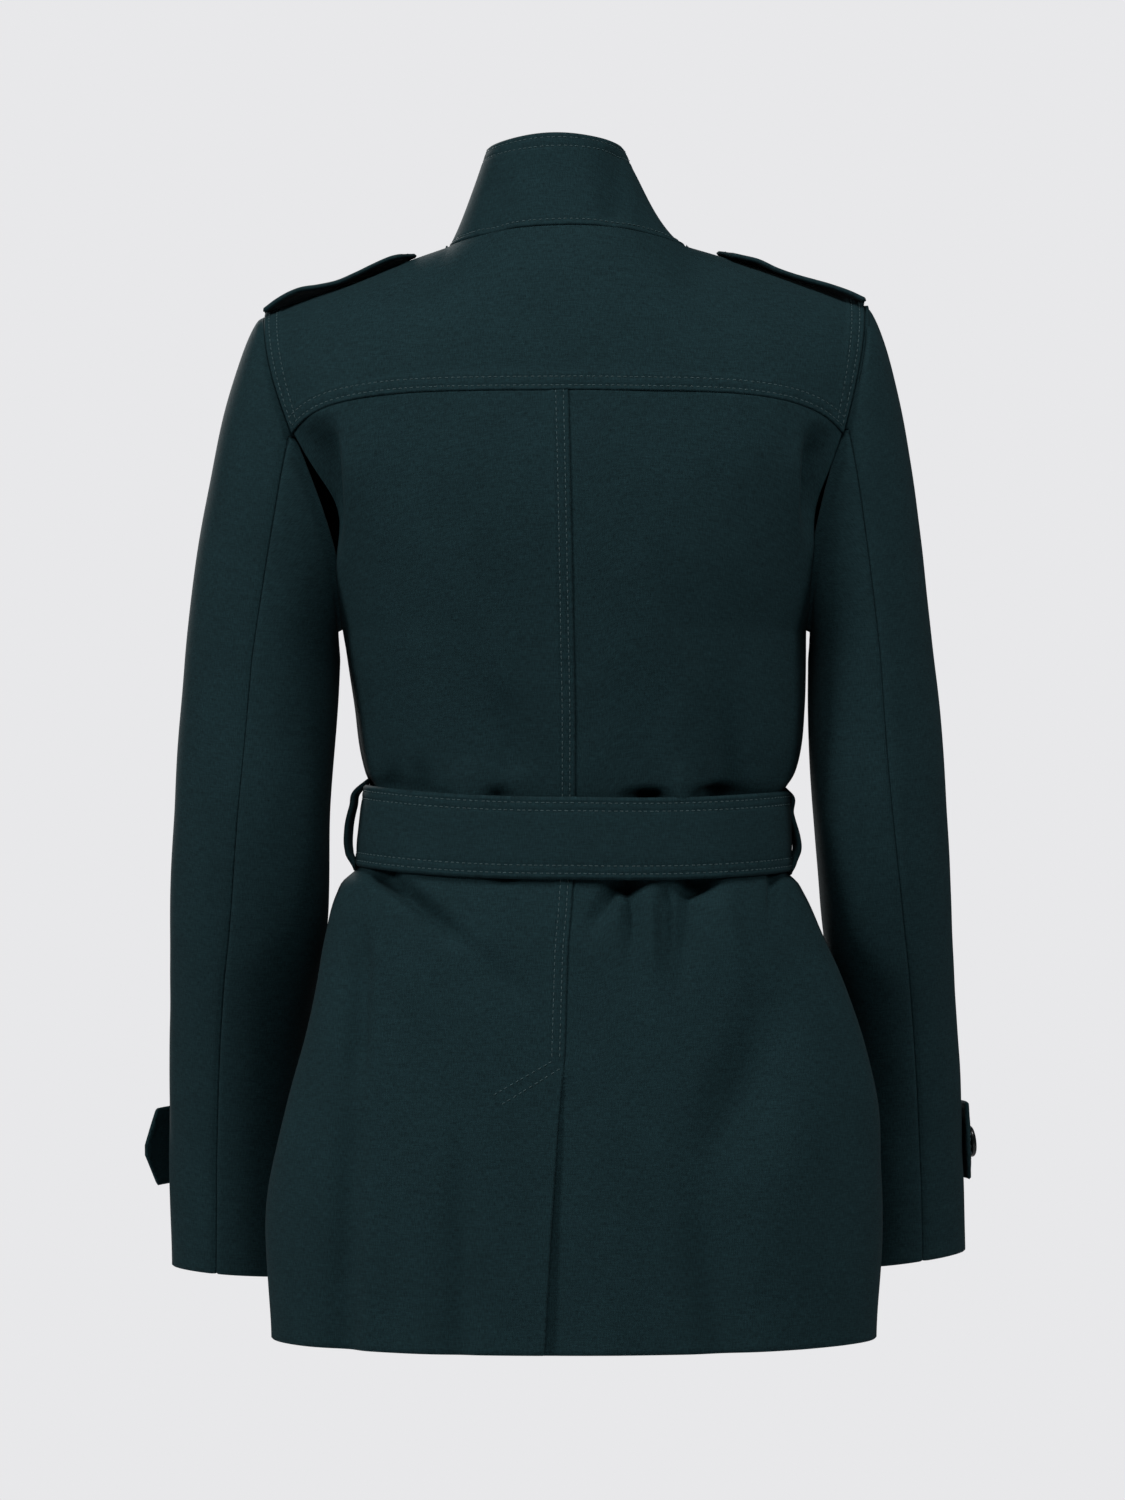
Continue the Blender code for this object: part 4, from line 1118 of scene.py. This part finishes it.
class JACKET_OT_back(bpy.types.Operator):
    """Make the back yoke and the two back panels, with their stitching"""
    bl_idname = "jacket.back"
    bl_label = "Back"

    # How far the right panel runs under at the centre, and how the vent's flap and underlap part
    CENTRE_UNDER = 0.028
    FLAP_LIFT, FLAP_WIDTH = 0.6, 22
    UNDERLAP_DROP, UNDERLAP_FROM, UNDERLAP_WIDTH = 1.7, 2, 26
    # Folds lie flat beside the side seam, and the centre welt dies away at the vent
    HELD_FROM, HELD_OVER = 3, 12
    WELT_ENDS, WELT_FADES = 6, 8
    # Length of a row over the shoulder; the yoke seam lies just above row 2
    ROW_LENGTH, YOKE_SEAM = 130, 2 + 1e-6
    YOKE_CALM, NECK_BLEND = 0.7, 0.03
    # Slanting rows at the vent, each from X, Z to X, Z, how far they keep off the seam, and how far above the
    # vent the centre rows end
    VENT_ROWS = (((5.5, -503.4), (42.2, -524.5)), ((1, -508), (36.8, -529.9)))
    VENT_ROW_SHIFT, CENTRE_ROWS_ABOVE = 3, 3

    def execute(self, context):
        wall = context.scene.jacket_sizes.wall / MM
        for side in SIDES:
            self.add_panel(side, wall)
        self.add_yoke(wall)
        return {"FINISHED"}

    def below_vent(self, row):
        return VENT_TOP - (HEM + (UNDERARM - HEM) * row)

    def centre_edge(self, side, row):
        """Where a panel's centre edge lies: the left one falls open at the vent, the right one runs under."""
        below = self.below_vent(row)
        if side == LEFT:
            return VENT_OPEN * np.clip(below / (VENT_TOP - HEM), 0, 1)
        return -self.CENTRE_UNDER - (VENT_UNDER - self.CENTRE_UNDER) * ease(below / VENT_SLANT)

    def add_panel(self, side, wall):
        form = quarter(side, BACK)

        def across_at(share, row):
            start = self.centre_edge(side, row)
            return start + (1 - start) * share

        def surface(share, row):
            return form(across_at(share, row), row)

        def relief(share, row, place):
            across = across_at(share, row)
            from_side = apart(form, place, 1, row)
            from_centre = apart(form, place, 0, row) * np.sign(across)
            from_yoke = apart(form, place, across, 2) * np.where(row > 2, -1, 1)
            held = np.where(row < 1, ease((from_side + self.HELD_FROM) / self.HELD_OVER), 1)
            folds = creased(BACK_FOLDS, place[..., 0], place[..., 2])
            lift = held * folds + swayed(place) + tucked(from_yoke)
            below = self.below_vent(row)
            if side == LEFT:
                fade = 1 - ease((below + self.WELT_ENDS) / self.WELT_FADES)
                flap = np.exp(-((from_centre / self.FLAP_WIDTH) ** 2)) * ease(below / (VENT_TOP - HEM) * 2)
                return lift + welted(from_centre, SEAM_ROWS) * fade + self.FLAP_LIFT * flap
            lap = 1 - ease((from_centre - self.UNDERLAP_FROM) / self.UNDERLAP_WIDTH)
            return lift + tucked(from_centre) - self.UNDERLAP_DROP * lap * ease(below / VENT_STEP)

        us = stops(lambda t: surface(t, 1), 0, 1, STEP, (True, False))
        vs = stops(lambda t: surface(0.5, t), 0, 2 + TUCK_REACH / self.ROW_LENGTH, STEP, (False, True))
        stitching = self.centre_rows(surface) + self.vent_rows(surface) if side == LEFT else ()
        edge = self.centre_edge(side, vs)
        start = apart(form, form(edge, vs), 0, vs) * np.sign(edge)
        add_cloth("back_" + SIDE_NAMES[side], surface, relief, us, vs, -side, wall, panel_cloth(),
                  stitching, grain=0, start=start)

    def centre_rows(self, surface):
        """Two rows of stitches beside the centre seam, from the yoke to the vent."""
        row = np.linspace((VENT_TOP + self.CENTRE_ROWS_ABOVE - HEM) / (UNDERARM - HEM), 2, 500)
        step = 0.01
        scale = size_of(surface(step, row) - surface(0, row)) / step
        return [(distance / scale, row) for distance in SEAM_ROWS]

    def vent_rows(self, surface):
        """Two slanting rows that hold the vent's underlap, running down and away from the seam."""
        rows = []
        for start, end in self.VENT_ROWS:
            x, level = np.linspace(start, end, 60).T
            row = (level - HEM) / (UNDERARM - HEM)
            share = np.linspace(0, 0.5, 400)
            places = zip(x + self.VENT_ROW_SHIFT, row)
            reach = [np.interp(at, surface(share, r)[:, 0], share) for at, r in places]
            rows.append((np.array(reach), row))
        return rows

    def add_yoke(self, wall):
        halves = {side: quarter(side, BACK) for side in SIDES}

        def surface(across, row):
            across, row = paired(across, row)
            left, right = (halves[side](np.abs(across), row) for side in SIDES)
            return np.where((across >= 0)[..., None], left, right)

        def relief(across, row, place):
            from_seam = apart(surface, place, across, self.YOKE_SEAM)
            from_armhole = apart(surface, place, np.sign(across + 1e-9), row)
            from_neck = apart(surface, place, across, 3) * np.where(row > 3, -1, 1)
            at_neck = 1 - ease((np.abs(across) - NECK_SHARE + self.NECK_BLEND) / self.NECK_BLEND)
            welt = np.maximum(welted(from_seam, SEAM_ROWS), welted(from_armhole, ARMHOLE_ROWS))
            return self.YOKE_CALM * swayed(place) + welt + tucked(from_neck) * at_neck

        top = 3 + TUCK_REACH / self.ROW_LENGTH
        us = stops(lambda t: surface(t, 2.4), -1, 1, STEP, (True, True))
        vs = stops(lambda t: surface(0.3, t), self.YOKE_SEAM, top, STEP, (True, True))
        along, up = np.linspace(-0.985, 0.985, 700), np.linspace(2.02, 2.97, 300)
        length = size_of(surface(along, 2.05) - surface(along, self.YOKE_SEAM))
        rows = [(along, 2 + 0.05 * distance / length) for distance in SEAM_ROWS]
        for side in SIDES:
            width = size_of(surface(side * 0.97, up) - surface(side, up))
            rows += [(side * (1 - 0.03 * distance / width), up) for distance in ARMHOLE_ROWS]
        add_cloth("back_yoke", surface, relief, us, vs, -1, wall, panel_cloth(),
                  rows)


class JACKET_OT_front(bpy.types.Operator):
    """Make the two front panels, the wearer's right one lapping over the left"""
    bl_idname = "jacket.front"
    bl_label = "Front"

    # How deep the left panel lies under the right, and how both narrow under the shoulder straps
    UNDER_LAP = 2.3
    NARROWING, NARROWS_FROM, NARROWS_OVER = 0.045, 2.7, 0.3
    ROW_LENGTH = 150

    def execute(self, context):
        for side in SIDES:
            self.add_panel(side, context.scene.jacket_sizes.wall / MM)
        return {"FINISHED"}

    def add_panel(self, side, wall):
        form = quarter(side, FRONT)

        def surface(across, row):
            narrower = self.NARROWING * ease((row - self.NARROWS_FROM) / self.NARROWS_OVER)
            return form(across * (1 - narrower), row)

        def relief(across, row, place):
            lift = creased(FRONT_FOLDS, place[..., 0], place[..., 2]) + swayed(place)
            from_side = apart(surface, place, 1, row) * np.where(across > 1, -1, 1)
            from_top = apart(surface, place, across, 3) * np.where(row > 3, -1, 1)
            lift = lift + tucked(from_side) * (row < 1) + tucked(from_top)
            if side == LEFT:
                return lift - self.UNDER_LAP * ease((3 * FRONT_LAP - across) / FRONT_LAP)
            return lift + welted(apart(surface, place, -FRONT_LAP, row), SEAM_ROWS)

        reach, top = 1 + TUCK_REACH / abs(ARMHOLE[side].under), 3 + TUCK_REACH / self.ROW_LENGTH
        us = stops(lambda t: surface(t, 1), -FRONT_LAP, reach, BROAD_STEP, (True, True))
        vs = stops(lambda t: surface(0.6, t), 0, top, BROAD_STEP, (False, True))
        rows = []
        if side == RIGHT:
            row = np.linspace(0.01, 2.97, 800)
            width = size_of(surface(0, row) - surface(-FRONT_LAP, row))
            rows = [(-FRONT_LAP * (1 - distance / width), row) for distance in SEAM_ROWS]
        add_cloth("front_" + SIDE_NAMES[side], surface, relief, us, vs, side, wall, panel_cloth(),
                  rows, grain=0)


class JACKET_OT_collar(bpy.types.Operator):
    """Make the stand collar and its rows of stitches"""
    bl_idname = "jacket.collar"
    bl_label = "Collar"

    RAISE, CALM, ROWS_SHORT = 0.9, 0.6, 2

    def execute(self, context):
        wall = context.scene.jacket_sizes.collar_wall / MM

        def surface(angle, up):
            angle, up = paired(angle, up)
            base = neck_seam(angle)
            top = neck_ring(angle, COLLAR_SHIFT, COLLAR_HALF, COLLAR_BACK, COLLAR_FRONT, COLLAR_HEIGHTS)
            lean = np.clip(up, 0, 1) ** (COLLAR_HOLLOW + COLLAR_HOLLOW_LEFT * np.sin(np.radians(angle)))
            return base + (top - base) * points(lean, lean, up) + points(0, 0, self.RAISE)

        def relief(angle, up, place):
            folds = creased(COLLAR_FOLDS, place[..., 0], place[..., 2]) * (place[..., 1] > 0)
            from_seam, from_top = apart(surface, place, angle, 0), apart(surface, place, angle, 1)
            rows = grooved(from_seam, NECK_ROWS) + grooved(from_top, COLLAR_ROWS)
            return self.CALM * swayed(place) + folds + rows

        us = stops(lambda t: surface(t, 0.3), -COLLAR_END, COLLAR_END, STEP, (True, True))
        vs = stops(lambda t: surface(0, t), 0.001, 0.999, STEP / 1.5, (True, True))
        angle = np.linspace(self.ROWS_SHORT - COLLAR_END, COLLAR_END - self.ROWS_SHORT, 900)
        height = size_of(surface(angle, 1) - surface(angle, 0))
        rows = [(angle, distance / height) for distance in NECK_ROWS]
        rows += [(angle, 1 - distance / height) for distance in COLLAR_ROWS]
        add_cloth("collar", surface, relief, us, vs, -1, wall, doubled_cloth(),
                  rows, level=False)
        return {"FINISHED"}


class JACKET_OT_sleeves(bpy.types.Operator):
    """Make the upper and under sleeves of both arms"""
    bl_idname = "jacket.sleeves"
    bl_label = "Sleeves"

    HEAD_DIP, HEAD_TURN = 1.2, 5.0
    SEAM_DIP, SEAM_SIDE, SEAM_UNDER = 0.7, 2.2, 4.0
    UNDER_DROP, CALM = -0.02, 0.6

    def execute(self, context):
        wall = context.scene.jacket_sizes.wall / MM
        under = self.SEAM_UNDER / ARM_GIRTH_STEP
        for side in SIDES:
            self.add_part(side, "upper", wall, lambda drop: FRONT_SEAM - 360 + 0 * drop, back_seam)
            self.add_part(side, "under", wall, lambda drop: back_seam(drop) - under,
                          lambda drop: FRONT_SEAM + under + 0 * drop)
        return {"FINISHED"}

    def add_part(self, side, part, wall, low, high):
        """Add one part of a sleeve, from one of its edges to the other by how far round they lie."""
        form = sleeve(side)
        folds = [fold._replace(x=fold.x * ARM_GIRTH_STEP, to_x=fold.to_x * ARM_GIRTH_STEP)
                 for fold in SLEEVE_FOLDS[side]]

        def turned(share, drop):
            return low(drop) + (high(drop) - low(drop)) * share

        def surface(share, drop):
            share, drop = paired(share, drop)
            return form(turned(share, drop), drop)

        def relief(share, drop, place):
            turn = turned(share, drop)
            spread = (turn + 180) % 360 - 180
            lift = self.CALM * swayed(place)
            for shift in (0, 360):
                lift = lift + creased(folds, (spread + shift) * ARM_GIRTH_STEP, place[..., 2])
            from_head = apart(form, place, turn, 0) * (drop >= 0)
            lift = lift - self.HEAD_DIP * (1 - ease(from_head / self.HEAD_TURN))
            seams = (back_seam(drop), FRONT_SEAM if part == "under" else FRONT_SEAM - 360)
            for seam in seams:
                off = np.abs(turn - seam) * ARM_GIRTH_STEP
                lift = lift - self.SEAM_DIP * np.exp(-((off / self.SEAM_SIDE) ** 2))
            if part == "under":
                lift = lift + tucked(np.minimum(turn - seams[0], seams[1] - turn) * ARM_GIRTH_STEP)
            return lift

        us = stops(lambda t: surface(t, 1.3), 0, 1, STEP, (True, True))
        vs = stops(lambda t: surface(0.5, t), self.UNDER_DROP, 2, STEP, (True, False))
        name = SIDE_NAMES[side]
        add_cloth("sleeve_%s_%s" % (part, name), surface, relief, us, vs, -side, wall, panel_cloth())


class JACKET_OT_straps(bpy.types.Operator):
    """Make the shoulder straps and the cuff straps"""
    bl_idname = "jacket.straps"
    bl_label = "Straps"

    CROWN, CROWN_FROM, CROWN_OVER, CALM = 0.5, 4, 8, 0.5
    ROW_STARTS, ROW_ENDS = 0.01, 0.955

    def execute(self, context):
        wall = context.scene.jacket_sizes.strap_wall / MM
        for side in SIDES:
            name = SIDE_NAMES[side]
            self.add_strap("shoulder_strap_" + name, shoulder_strap(side), -side, wall,
                           ["back_yoke_cloth", "front_%s_cloth" % name])
            self.add_strap("cuff_strap_" + name, cuff_strap(side, wall), side, wall,
                           ["sleeve_upper_%s_cloth" % name])
        return {"FINISHED"}

    def add_strap(self, node, surface, out, wall, rests_on):
        def half_width(share):
            return size_of(surface(share, 1) - surface(share, 0))

        def relief(share, across, place):
            from_edge = half_width(share) * (1 - np.abs(across))
            edge = np.minimum(from_edge, apart(surface, place, 1, across))
            crown = self.CROWN * ease((edge - self.CROWN_FROM) / self.CROWN_OVER)
            return grooved(edge, STRAP_ROWS) + crown + self.CALM * swayed(place)

        us = stops(lambda t: surface(t, 0), 0, 0.999, STEP / 2, (False, True))
        vs = stops(lambda t: surface(0.3, t), -1, 1, STEP / 2, (True, True))
        share = np.linspace(self.ROW_STARTS, self.ROW_ENDS, 300)
        inset = 1 - STRAP_ROWS[0] / np.maximum(half_width(share), STRAP_ROWS[0])
        tip = np.linspace(-1, 1, 40) * inset[-1]
        rows = [(share, inset), (share, -inset), (self.ROW_ENDS, tip)]
        add_cloth(node, surface, relief, us, vs, out, wall, doubled_cloth(), rows,
                  level=False)


class JACKET_OT_belt(bpy.types.Operator):
    """Make the belt, its free end and its two loops"""
    bl_idname = "jacket.belt"
    bl_label = "Belt"

    CROWN, CROWN_FROM, CROWN_OVER, CALM = 0.35, 8, 6, 0.45
    ROWS_SHORT, LOOP_COLUMNS = 1, 19

    def execute(self, context):
        self.add_belt()
        self.add_end()
        for side in SIDES:
            self.add_loop(side)
        return {"FINISHED"}

    def add_belt(self):
        surface = belt_band(BELT_GAP + BELT_WALL)
        height = BELT_TOP - BELT_BOTTOM

        def relief(angle, up, place):
            edge = np.minimum(up, 1 - up) * height
            crown = self.CROWN * ease((edge - self.CROWN_FROM) / self.CROWN_OVER)
            return grooved(edge, BELT_ROWS) + crown + self.CALM * swayed(place)

        us = stops(lambda t: surface(t, 0.5), -BELT_ENDS_AT, BELT_ENDS_AT, STEP)
        vs = stops(lambda t: surface(0, t), 0.001, 0.999, STEP, (True, True))
        angle = np.linspace(self.ROWS_SHORT - BELT_ENDS_AT, BELT_ENDS_AT - self.ROWS_SHORT, 2500)
        rows = [(angle, up) for row in BELT_ROWS for up in (row / height, 1 - row / height)]
        add_cloth("belt", surface, relief, us, vs, -1, BELT_WALL, doubled_cloth(),
                  rows, level=False)

    def add_end(self):
        band = belt_band(BELT_GAP + BELT_WALL + STRAP_GAP + BELT_END_WALL)
        height = (BELT_TOP - BELT_BOTTOM) * BELT_END_HALF * 2

        def surface(share, across):
            share, across = paired(share, across)
            angle = BELT_END_FROM + (BELT_END_TO - BELT_END_FROM) * share
            return band(angle, 0.5 + BELT_END_HALF * across * pointed(share, BELT_END_POINT))

        def relief(share, across, place):
            return grooved((1 - np.abs(across)) * height / 2 * pointed(share, BELT_END_POINT), BELT_ROWS)

        us = stops(lambda t: surface(t, 0), 0, 1, STEP, (False, True))
        vs = stops(lambda t: surface(0.4, t), -0.999, 0.999, STEP, (True, True))
        share = np.linspace(0.01, BELT_END_POINT, 300)
        rows = [(share, side * (1 - 2 * row / height)) for row in BELT_ROWS for side in SIDES]
        add_cloth("belt_end", surface, relief, us, vs, 1, BELT_END_WALL, doubled_cloth(),
                  rows, level=False)

    def add_loop(self, side):
        def surface(down, across):
            down, across = paired(down, across)
            level = LOOP_TOP[side] + (LOOP_BOTTOM[side] - LOOP_TOP[side]) * down
            off_body = (LOOP_BULGE[side] + LOOP_TWIST * across) * column(LOOP_BOW, "out", down)
            on_seam = ring(side, BACK, np.ones_like(down), level)
            return on_seam + points(side * off_body, LOOP_HALF * across, 0)

        def relief(down, across, place):
            return grooved((1 - np.abs(across)) * LOOP_HALF, LOOP_ROWS)

        us = stops(lambda t: surface(t, 0), 0, 1, STEP / 3)
        vs = np.linspace(-1, 1, self.LOOP_COLUMNS)
        add_cloth("belt_loop_" + SIDE_NAMES[side], surface, relief, us, vs, side, LOOP_WALL, doubled_cloth())


class JACKET_OT_buttons(bpy.types.Operator):
    """Make the cuff buttons and the front buttons"""
    bl_idname = "jacket.buttons"
    bl_label = "Buttons"

    SIDES_ROUND, SHARP = 48, math.radians(38)
    HOLE_RADIUS, HOLE_PLACE, HOLE_SIDES, HOLE_DEPTH = 0.95, 2.0, 20, 12
    BAR_LANES, BAR_RADIUS, BAR_LEVEL, BAR_SIDES, BAR_SHARP = (-0.3, 0.3), 0.28, 2.45, 8, math.radians(50)
    PROFILE = ((0, 0), (8.4, 0), (9.5, 0.5), (10, 1.5), (9.9, 2.6), (9.2, 3.3), (8.3, 3.4), (7.5, 3.0),
               (6.6, 2.5), (0, 2.35))

    def execute(self, context):
        mesh = self.button_mesh(context.scene.jacket_colours.button)
        thread = self.thread_mesh()
        wall = context.scene.jacket_sizes.strap_wall / MM
        for side in SIDES:
            self.add_button("button_cuff_" + SIDE_NAMES[side], cuff_strap(side, wall),
                            (CUFF_STRAP_BUTTON, 0), side, mesh, thread)
        for number, row in enumerate(FRONT_BUTTON_ROWS, 1):
            self.add_button("button_front_%d" % number, quarter(RIGHT, FRONT), (0, row), RIGHT, mesh, thread)
        return {"FINISHED"}

    def button_mesh(self, colour):
        """A dished disc with a rounded rim and four holes."""
        shape = bmesh.new()
        chain = [shape.verts.new((r * MM, 0, z * MM)) for r, z in self.PROFILE]
        edges = [shape.edges.new(pair) for pair in zip(chain, chain[1:])]
        bmesh.ops.spin(shape, geom=chain + edges, cent=(0, 0, 0), axis=(0, 0, 1), dvec=(0, 0, 0),
                       angle=2 * math.pi, steps=self.SIDES_ROUND, use_merge=True)
        bmesh.ops.remove_doubles(shape, verts=shape.verts, dist=1e-6)
        bmesh.ops.recalc_face_normals(shape, faces=shape.faces)
        disc = self.as_object("button_disc", shape)
        drill = bmesh.new()
        for x in (-self.HOLE_PLACE, self.HOLE_PLACE):
            for y in (-self.HOLE_PLACE, self.HOLE_PLACE):
                self.add_rod(drill, self.HOLE_SIDES, self.HOLE_RADIUS, self.HOLE_DEPTH,
                             Matrix.Translation((x * MM, y * MM, 0)))
        holes = self.as_object("button_holes", drill)
        cut = disc.modifiers.new("holes", "BOOLEAN")
        cut.object = holes
        cut.operation = "DIFFERENCE"
        bpy.context.view_layer.update()
        ready = disc.evaluated_get(bpy.context.evaluated_depsgraph_get())
        mesh = bpy.data.meshes.new_from_object(ready)
        mesh.name = "button"
        for spare in (disc, holes):
            bpy.data.objects.remove(spare)
        mesh.shade_smooth()
        mesh.set_sharp_from_angle(angle=self.SHARP)
        mesh.materials.clear()
        mesh.materials.append(polished_material("button_horn", colour, 0.34, 0.006))
        return mesh

    def add_rod(self, shape, sides, radius, length, place):
        bmesh.ops.create_cone(shape, cap_ends=True, segments=sides, radius1=radius * MM, radius2=radius * MM,
                              depth=length * MM, matrix=place)

    def as_object(self, name, shape):
        mesh = bpy.data.meshes.new(name)
        shape.to_mesh(mesh)
        shape.free()
        made = bpy.data.objects.new(name, mesh)
        bpy.context.scene.collection.objects.link(made)
        return made

    def thread_mesh(self):
        """Two bars of sewing thread through the button's holes."""
        shape = bmesh.new()
        for y in (-self.HOLE_PLACE, self.HOLE_PLACE):
            for lane in self.BAR_LANES:
                place = Matrix.Translation((0, (y + lane) * MM, self.BAR_LEVEL * MM))
                self.add_rod(shape, self.BAR_SIDES, self.BAR_RADIUS, 2 * self.HOLE_PLACE,
                             place @ Matrix.Rotation(math.pi / 2, 4, "Y"))
        mesh = bpy.data.meshes.new("button_thread")
        shape.to_mesh(mesh)
        shape.free()
        mesh.shade_smooth()
        mesh.set_sharp_from_angle(angle=self.BAR_SHARP)
        mesh.materials.append(thread_material())
        return mesh

    def add_button(self, node, surface, place, out, mesh, thread):
        u, v = (np.array(value, float) for value in place)
        normal = facing(surface, out, u, v)
        seat = Vector(surface(u, v) + normal * BUTTON_GAP) * MM
        turned = Vector(normal).to_track_quat("Z", "Y").to_matrix().to_4x4()
        parts = ((node + "_horn", mesh, "button_horn"), (node + "_thread", thread, "shell_cloth"))
        for name, shape, slot in parts:
            own = shape.copy()
            own.transform(Matrix.Translation(seat) @ turned)
            piece = bpy.data.objects.new(name, own)
            bpy.context.scene.collection.objects.link(piece)
            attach(piece, BODY_NAME)
            if shape is mesh:
                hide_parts(node)


class JACKET_OT_buckle(bpy.types.Operator):
    """Make the slide buckle"""
    bl_idname = "jacket.buckle"
    bl_label = "Buckle"

    ROUNDING, CORNER_STEPS, SHARP = 0.9, 8, math.radians(40)

    def execute(self, context):
        curve = bpy.data.curves.new("buckle", "CURVE")
        curve.dimensions = "2D"
        curve.fill_mode = "BOTH"
        curve.extrude = (BUCKLE_THICK / 2 - self.ROUNDING) * MM
        curve.bevel_depth = self.ROUNDING * MM
        curve.bevel_resolution = 3
        curve.offset = -self.ROUNDING * MM
        half = BUCKLE_WIDTH / 2
        window = BUCKLE_HEIGHT - 2 * BUCKLE_RAIL
        self.outline(curve, -half, half, BUCKLE_HEIGHT)
        self.outline(curve, BUCKLE_RAIL / 2, half - BUCKLE_RAIL, window)
        self.outline(curve, BUCKLE_RAIL - half, -BUCKLE_RAIL / 2, window)
        drawn = bpy.data.objects.new("buckle_outline", curve)
        context.scene.collection.objects.link(drawn)
        context.view_layer.update()
        mesh = bpy.data.meshes.new_from_object(drawn.evaluated_get(context.evaluated_depsgraph_get()))
        bpy.data.objects.remove(drawn)
        mesh.name = "buckle_frame"
        shape = bmesh.new()
        shape.from_mesh(mesh)
        bmesh.ops.remove_doubles(shape, verts=shape.verts, dist=1e-6)
        shape.to_mesh(mesh)
        shape.free()
        lift = BELT_GAP + BELT_WALL + STRAP_GAP + BELT_END_WALL + BUCKLE_SEAT
        seat = belt_band(lift)(np.array(180.0), 0.5) - points(0, BUCKLE_THICK / 2, 0)
        mesh.transform(Matrix.Translation(Vector(seat) * MM) @ Matrix.Rotation(math.pi / 2, 4, "X"))
        mesh.shade_smooth()
        mesh.set_sharp_from_angle(angle=self.SHARP)
        material = polished_material("buckle_resin", context.scene.jacket_colours.buckle, 0.42, 0.01)
        add_piece("buckle_frame", mesh, material, "buckle")
        return {"FINISHED"}

    def outline(self, curve, left, right, height):
        """Add a closed outline with rounded corners."""
        west, east = left + BUCKLE_CORNER, right - BUCKLE_CORNER
        north = height / 2 - BUCKLE_CORNER
        corners = ((east, north, 0), (west, north, 90), (west, -north, 180), (east, -north, 270))
        places = []
        for x, y, start in corners:
            for turn in np.radians(np.linspace(start, start + 90, self.CORNER_STEPS)):
                places.append((x + BUCKLE_CORNER * math.cos(turn), y + BUCKLE_CORNER * math.sin(turn)))
        spline = curve.splines.new("POLY")
        spline.points.add(len(places) - 1)
        for point, (x, y) in zip(spline.points, places):
            point.co = (x * MM, y * MM, 0, 1)
        spline.use_cyclic_u = True


class JACKET_PT_sidebar(bpy.types.Panel):
    """Sizes, colours and pieces of the jacket"""
    bl_idname = "JACKET_PT_sidebar"
    bl_label = "Utility Jacket"
    bl_space_type = "VIEW_3D"
    bl_region_type = "UI"
    bl_category = "Jacket"

    def draw(self, context):
        layout = self.layout
        for name, group in GROUPS.items():
            for label in group.__annotations__:
                layout.prop(getattr(context.scene, name), label)
        for operator in OPERATORS:
            layout.operator(operator.bl_idname)


OPERATORS = (JACKET_OT_stage, JACKET_OT_collar, JACKET_OT_back, JACKET_OT_front, JACKET_OT_sleeves,
             JACKET_OT_straps, JACKET_OT_belt, JACKET_OT_buttons, JACKET_OT_buckle)
GROUPS = {"jacket_sizes": JacketSizes, "jacket_colours": JacketColours, "jacket_stage": JacketStage}


def register():
    for group in GROUPS.values():
        bpy.utils.register_class(group)
    for operator in OPERATORS:
        bpy.utils.register_class(operator)
    bpy.utils.register_class(JACKET_PT_sidebar)
    for name, group in GROUPS.items():
        setattr(bpy.types.Scene, name, PointerProperty(type=group))


def unregister():
    for name in GROUPS:
        delattr(bpy.types.Scene, name)
    bpy.utils.unregister_class(JACKET_PT_sidebar)
    for operator in reversed(OPERATORS):
        bpy.utils.unregister_class(operator)
    for group in reversed(GROUPS.values()):
        bpy.utils.unregister_class(group)


def main():
    """Build the whole jacket."""
    register()
    bpy.ops.jacket.stage()
    bpy.ops.jacket.collar()
    bpy.ops.jacket.back()
    bpy.ops.jacket.front()
    bpy.ops.jacket.sleeves()
    bpy.ops.jacket.straps()
    bpy.ops.jacket.belt()
    bpy.ops.jacket.buttons()
    bpy.ops.jacket.buckle()


if __name__ == "__main__":
    main()
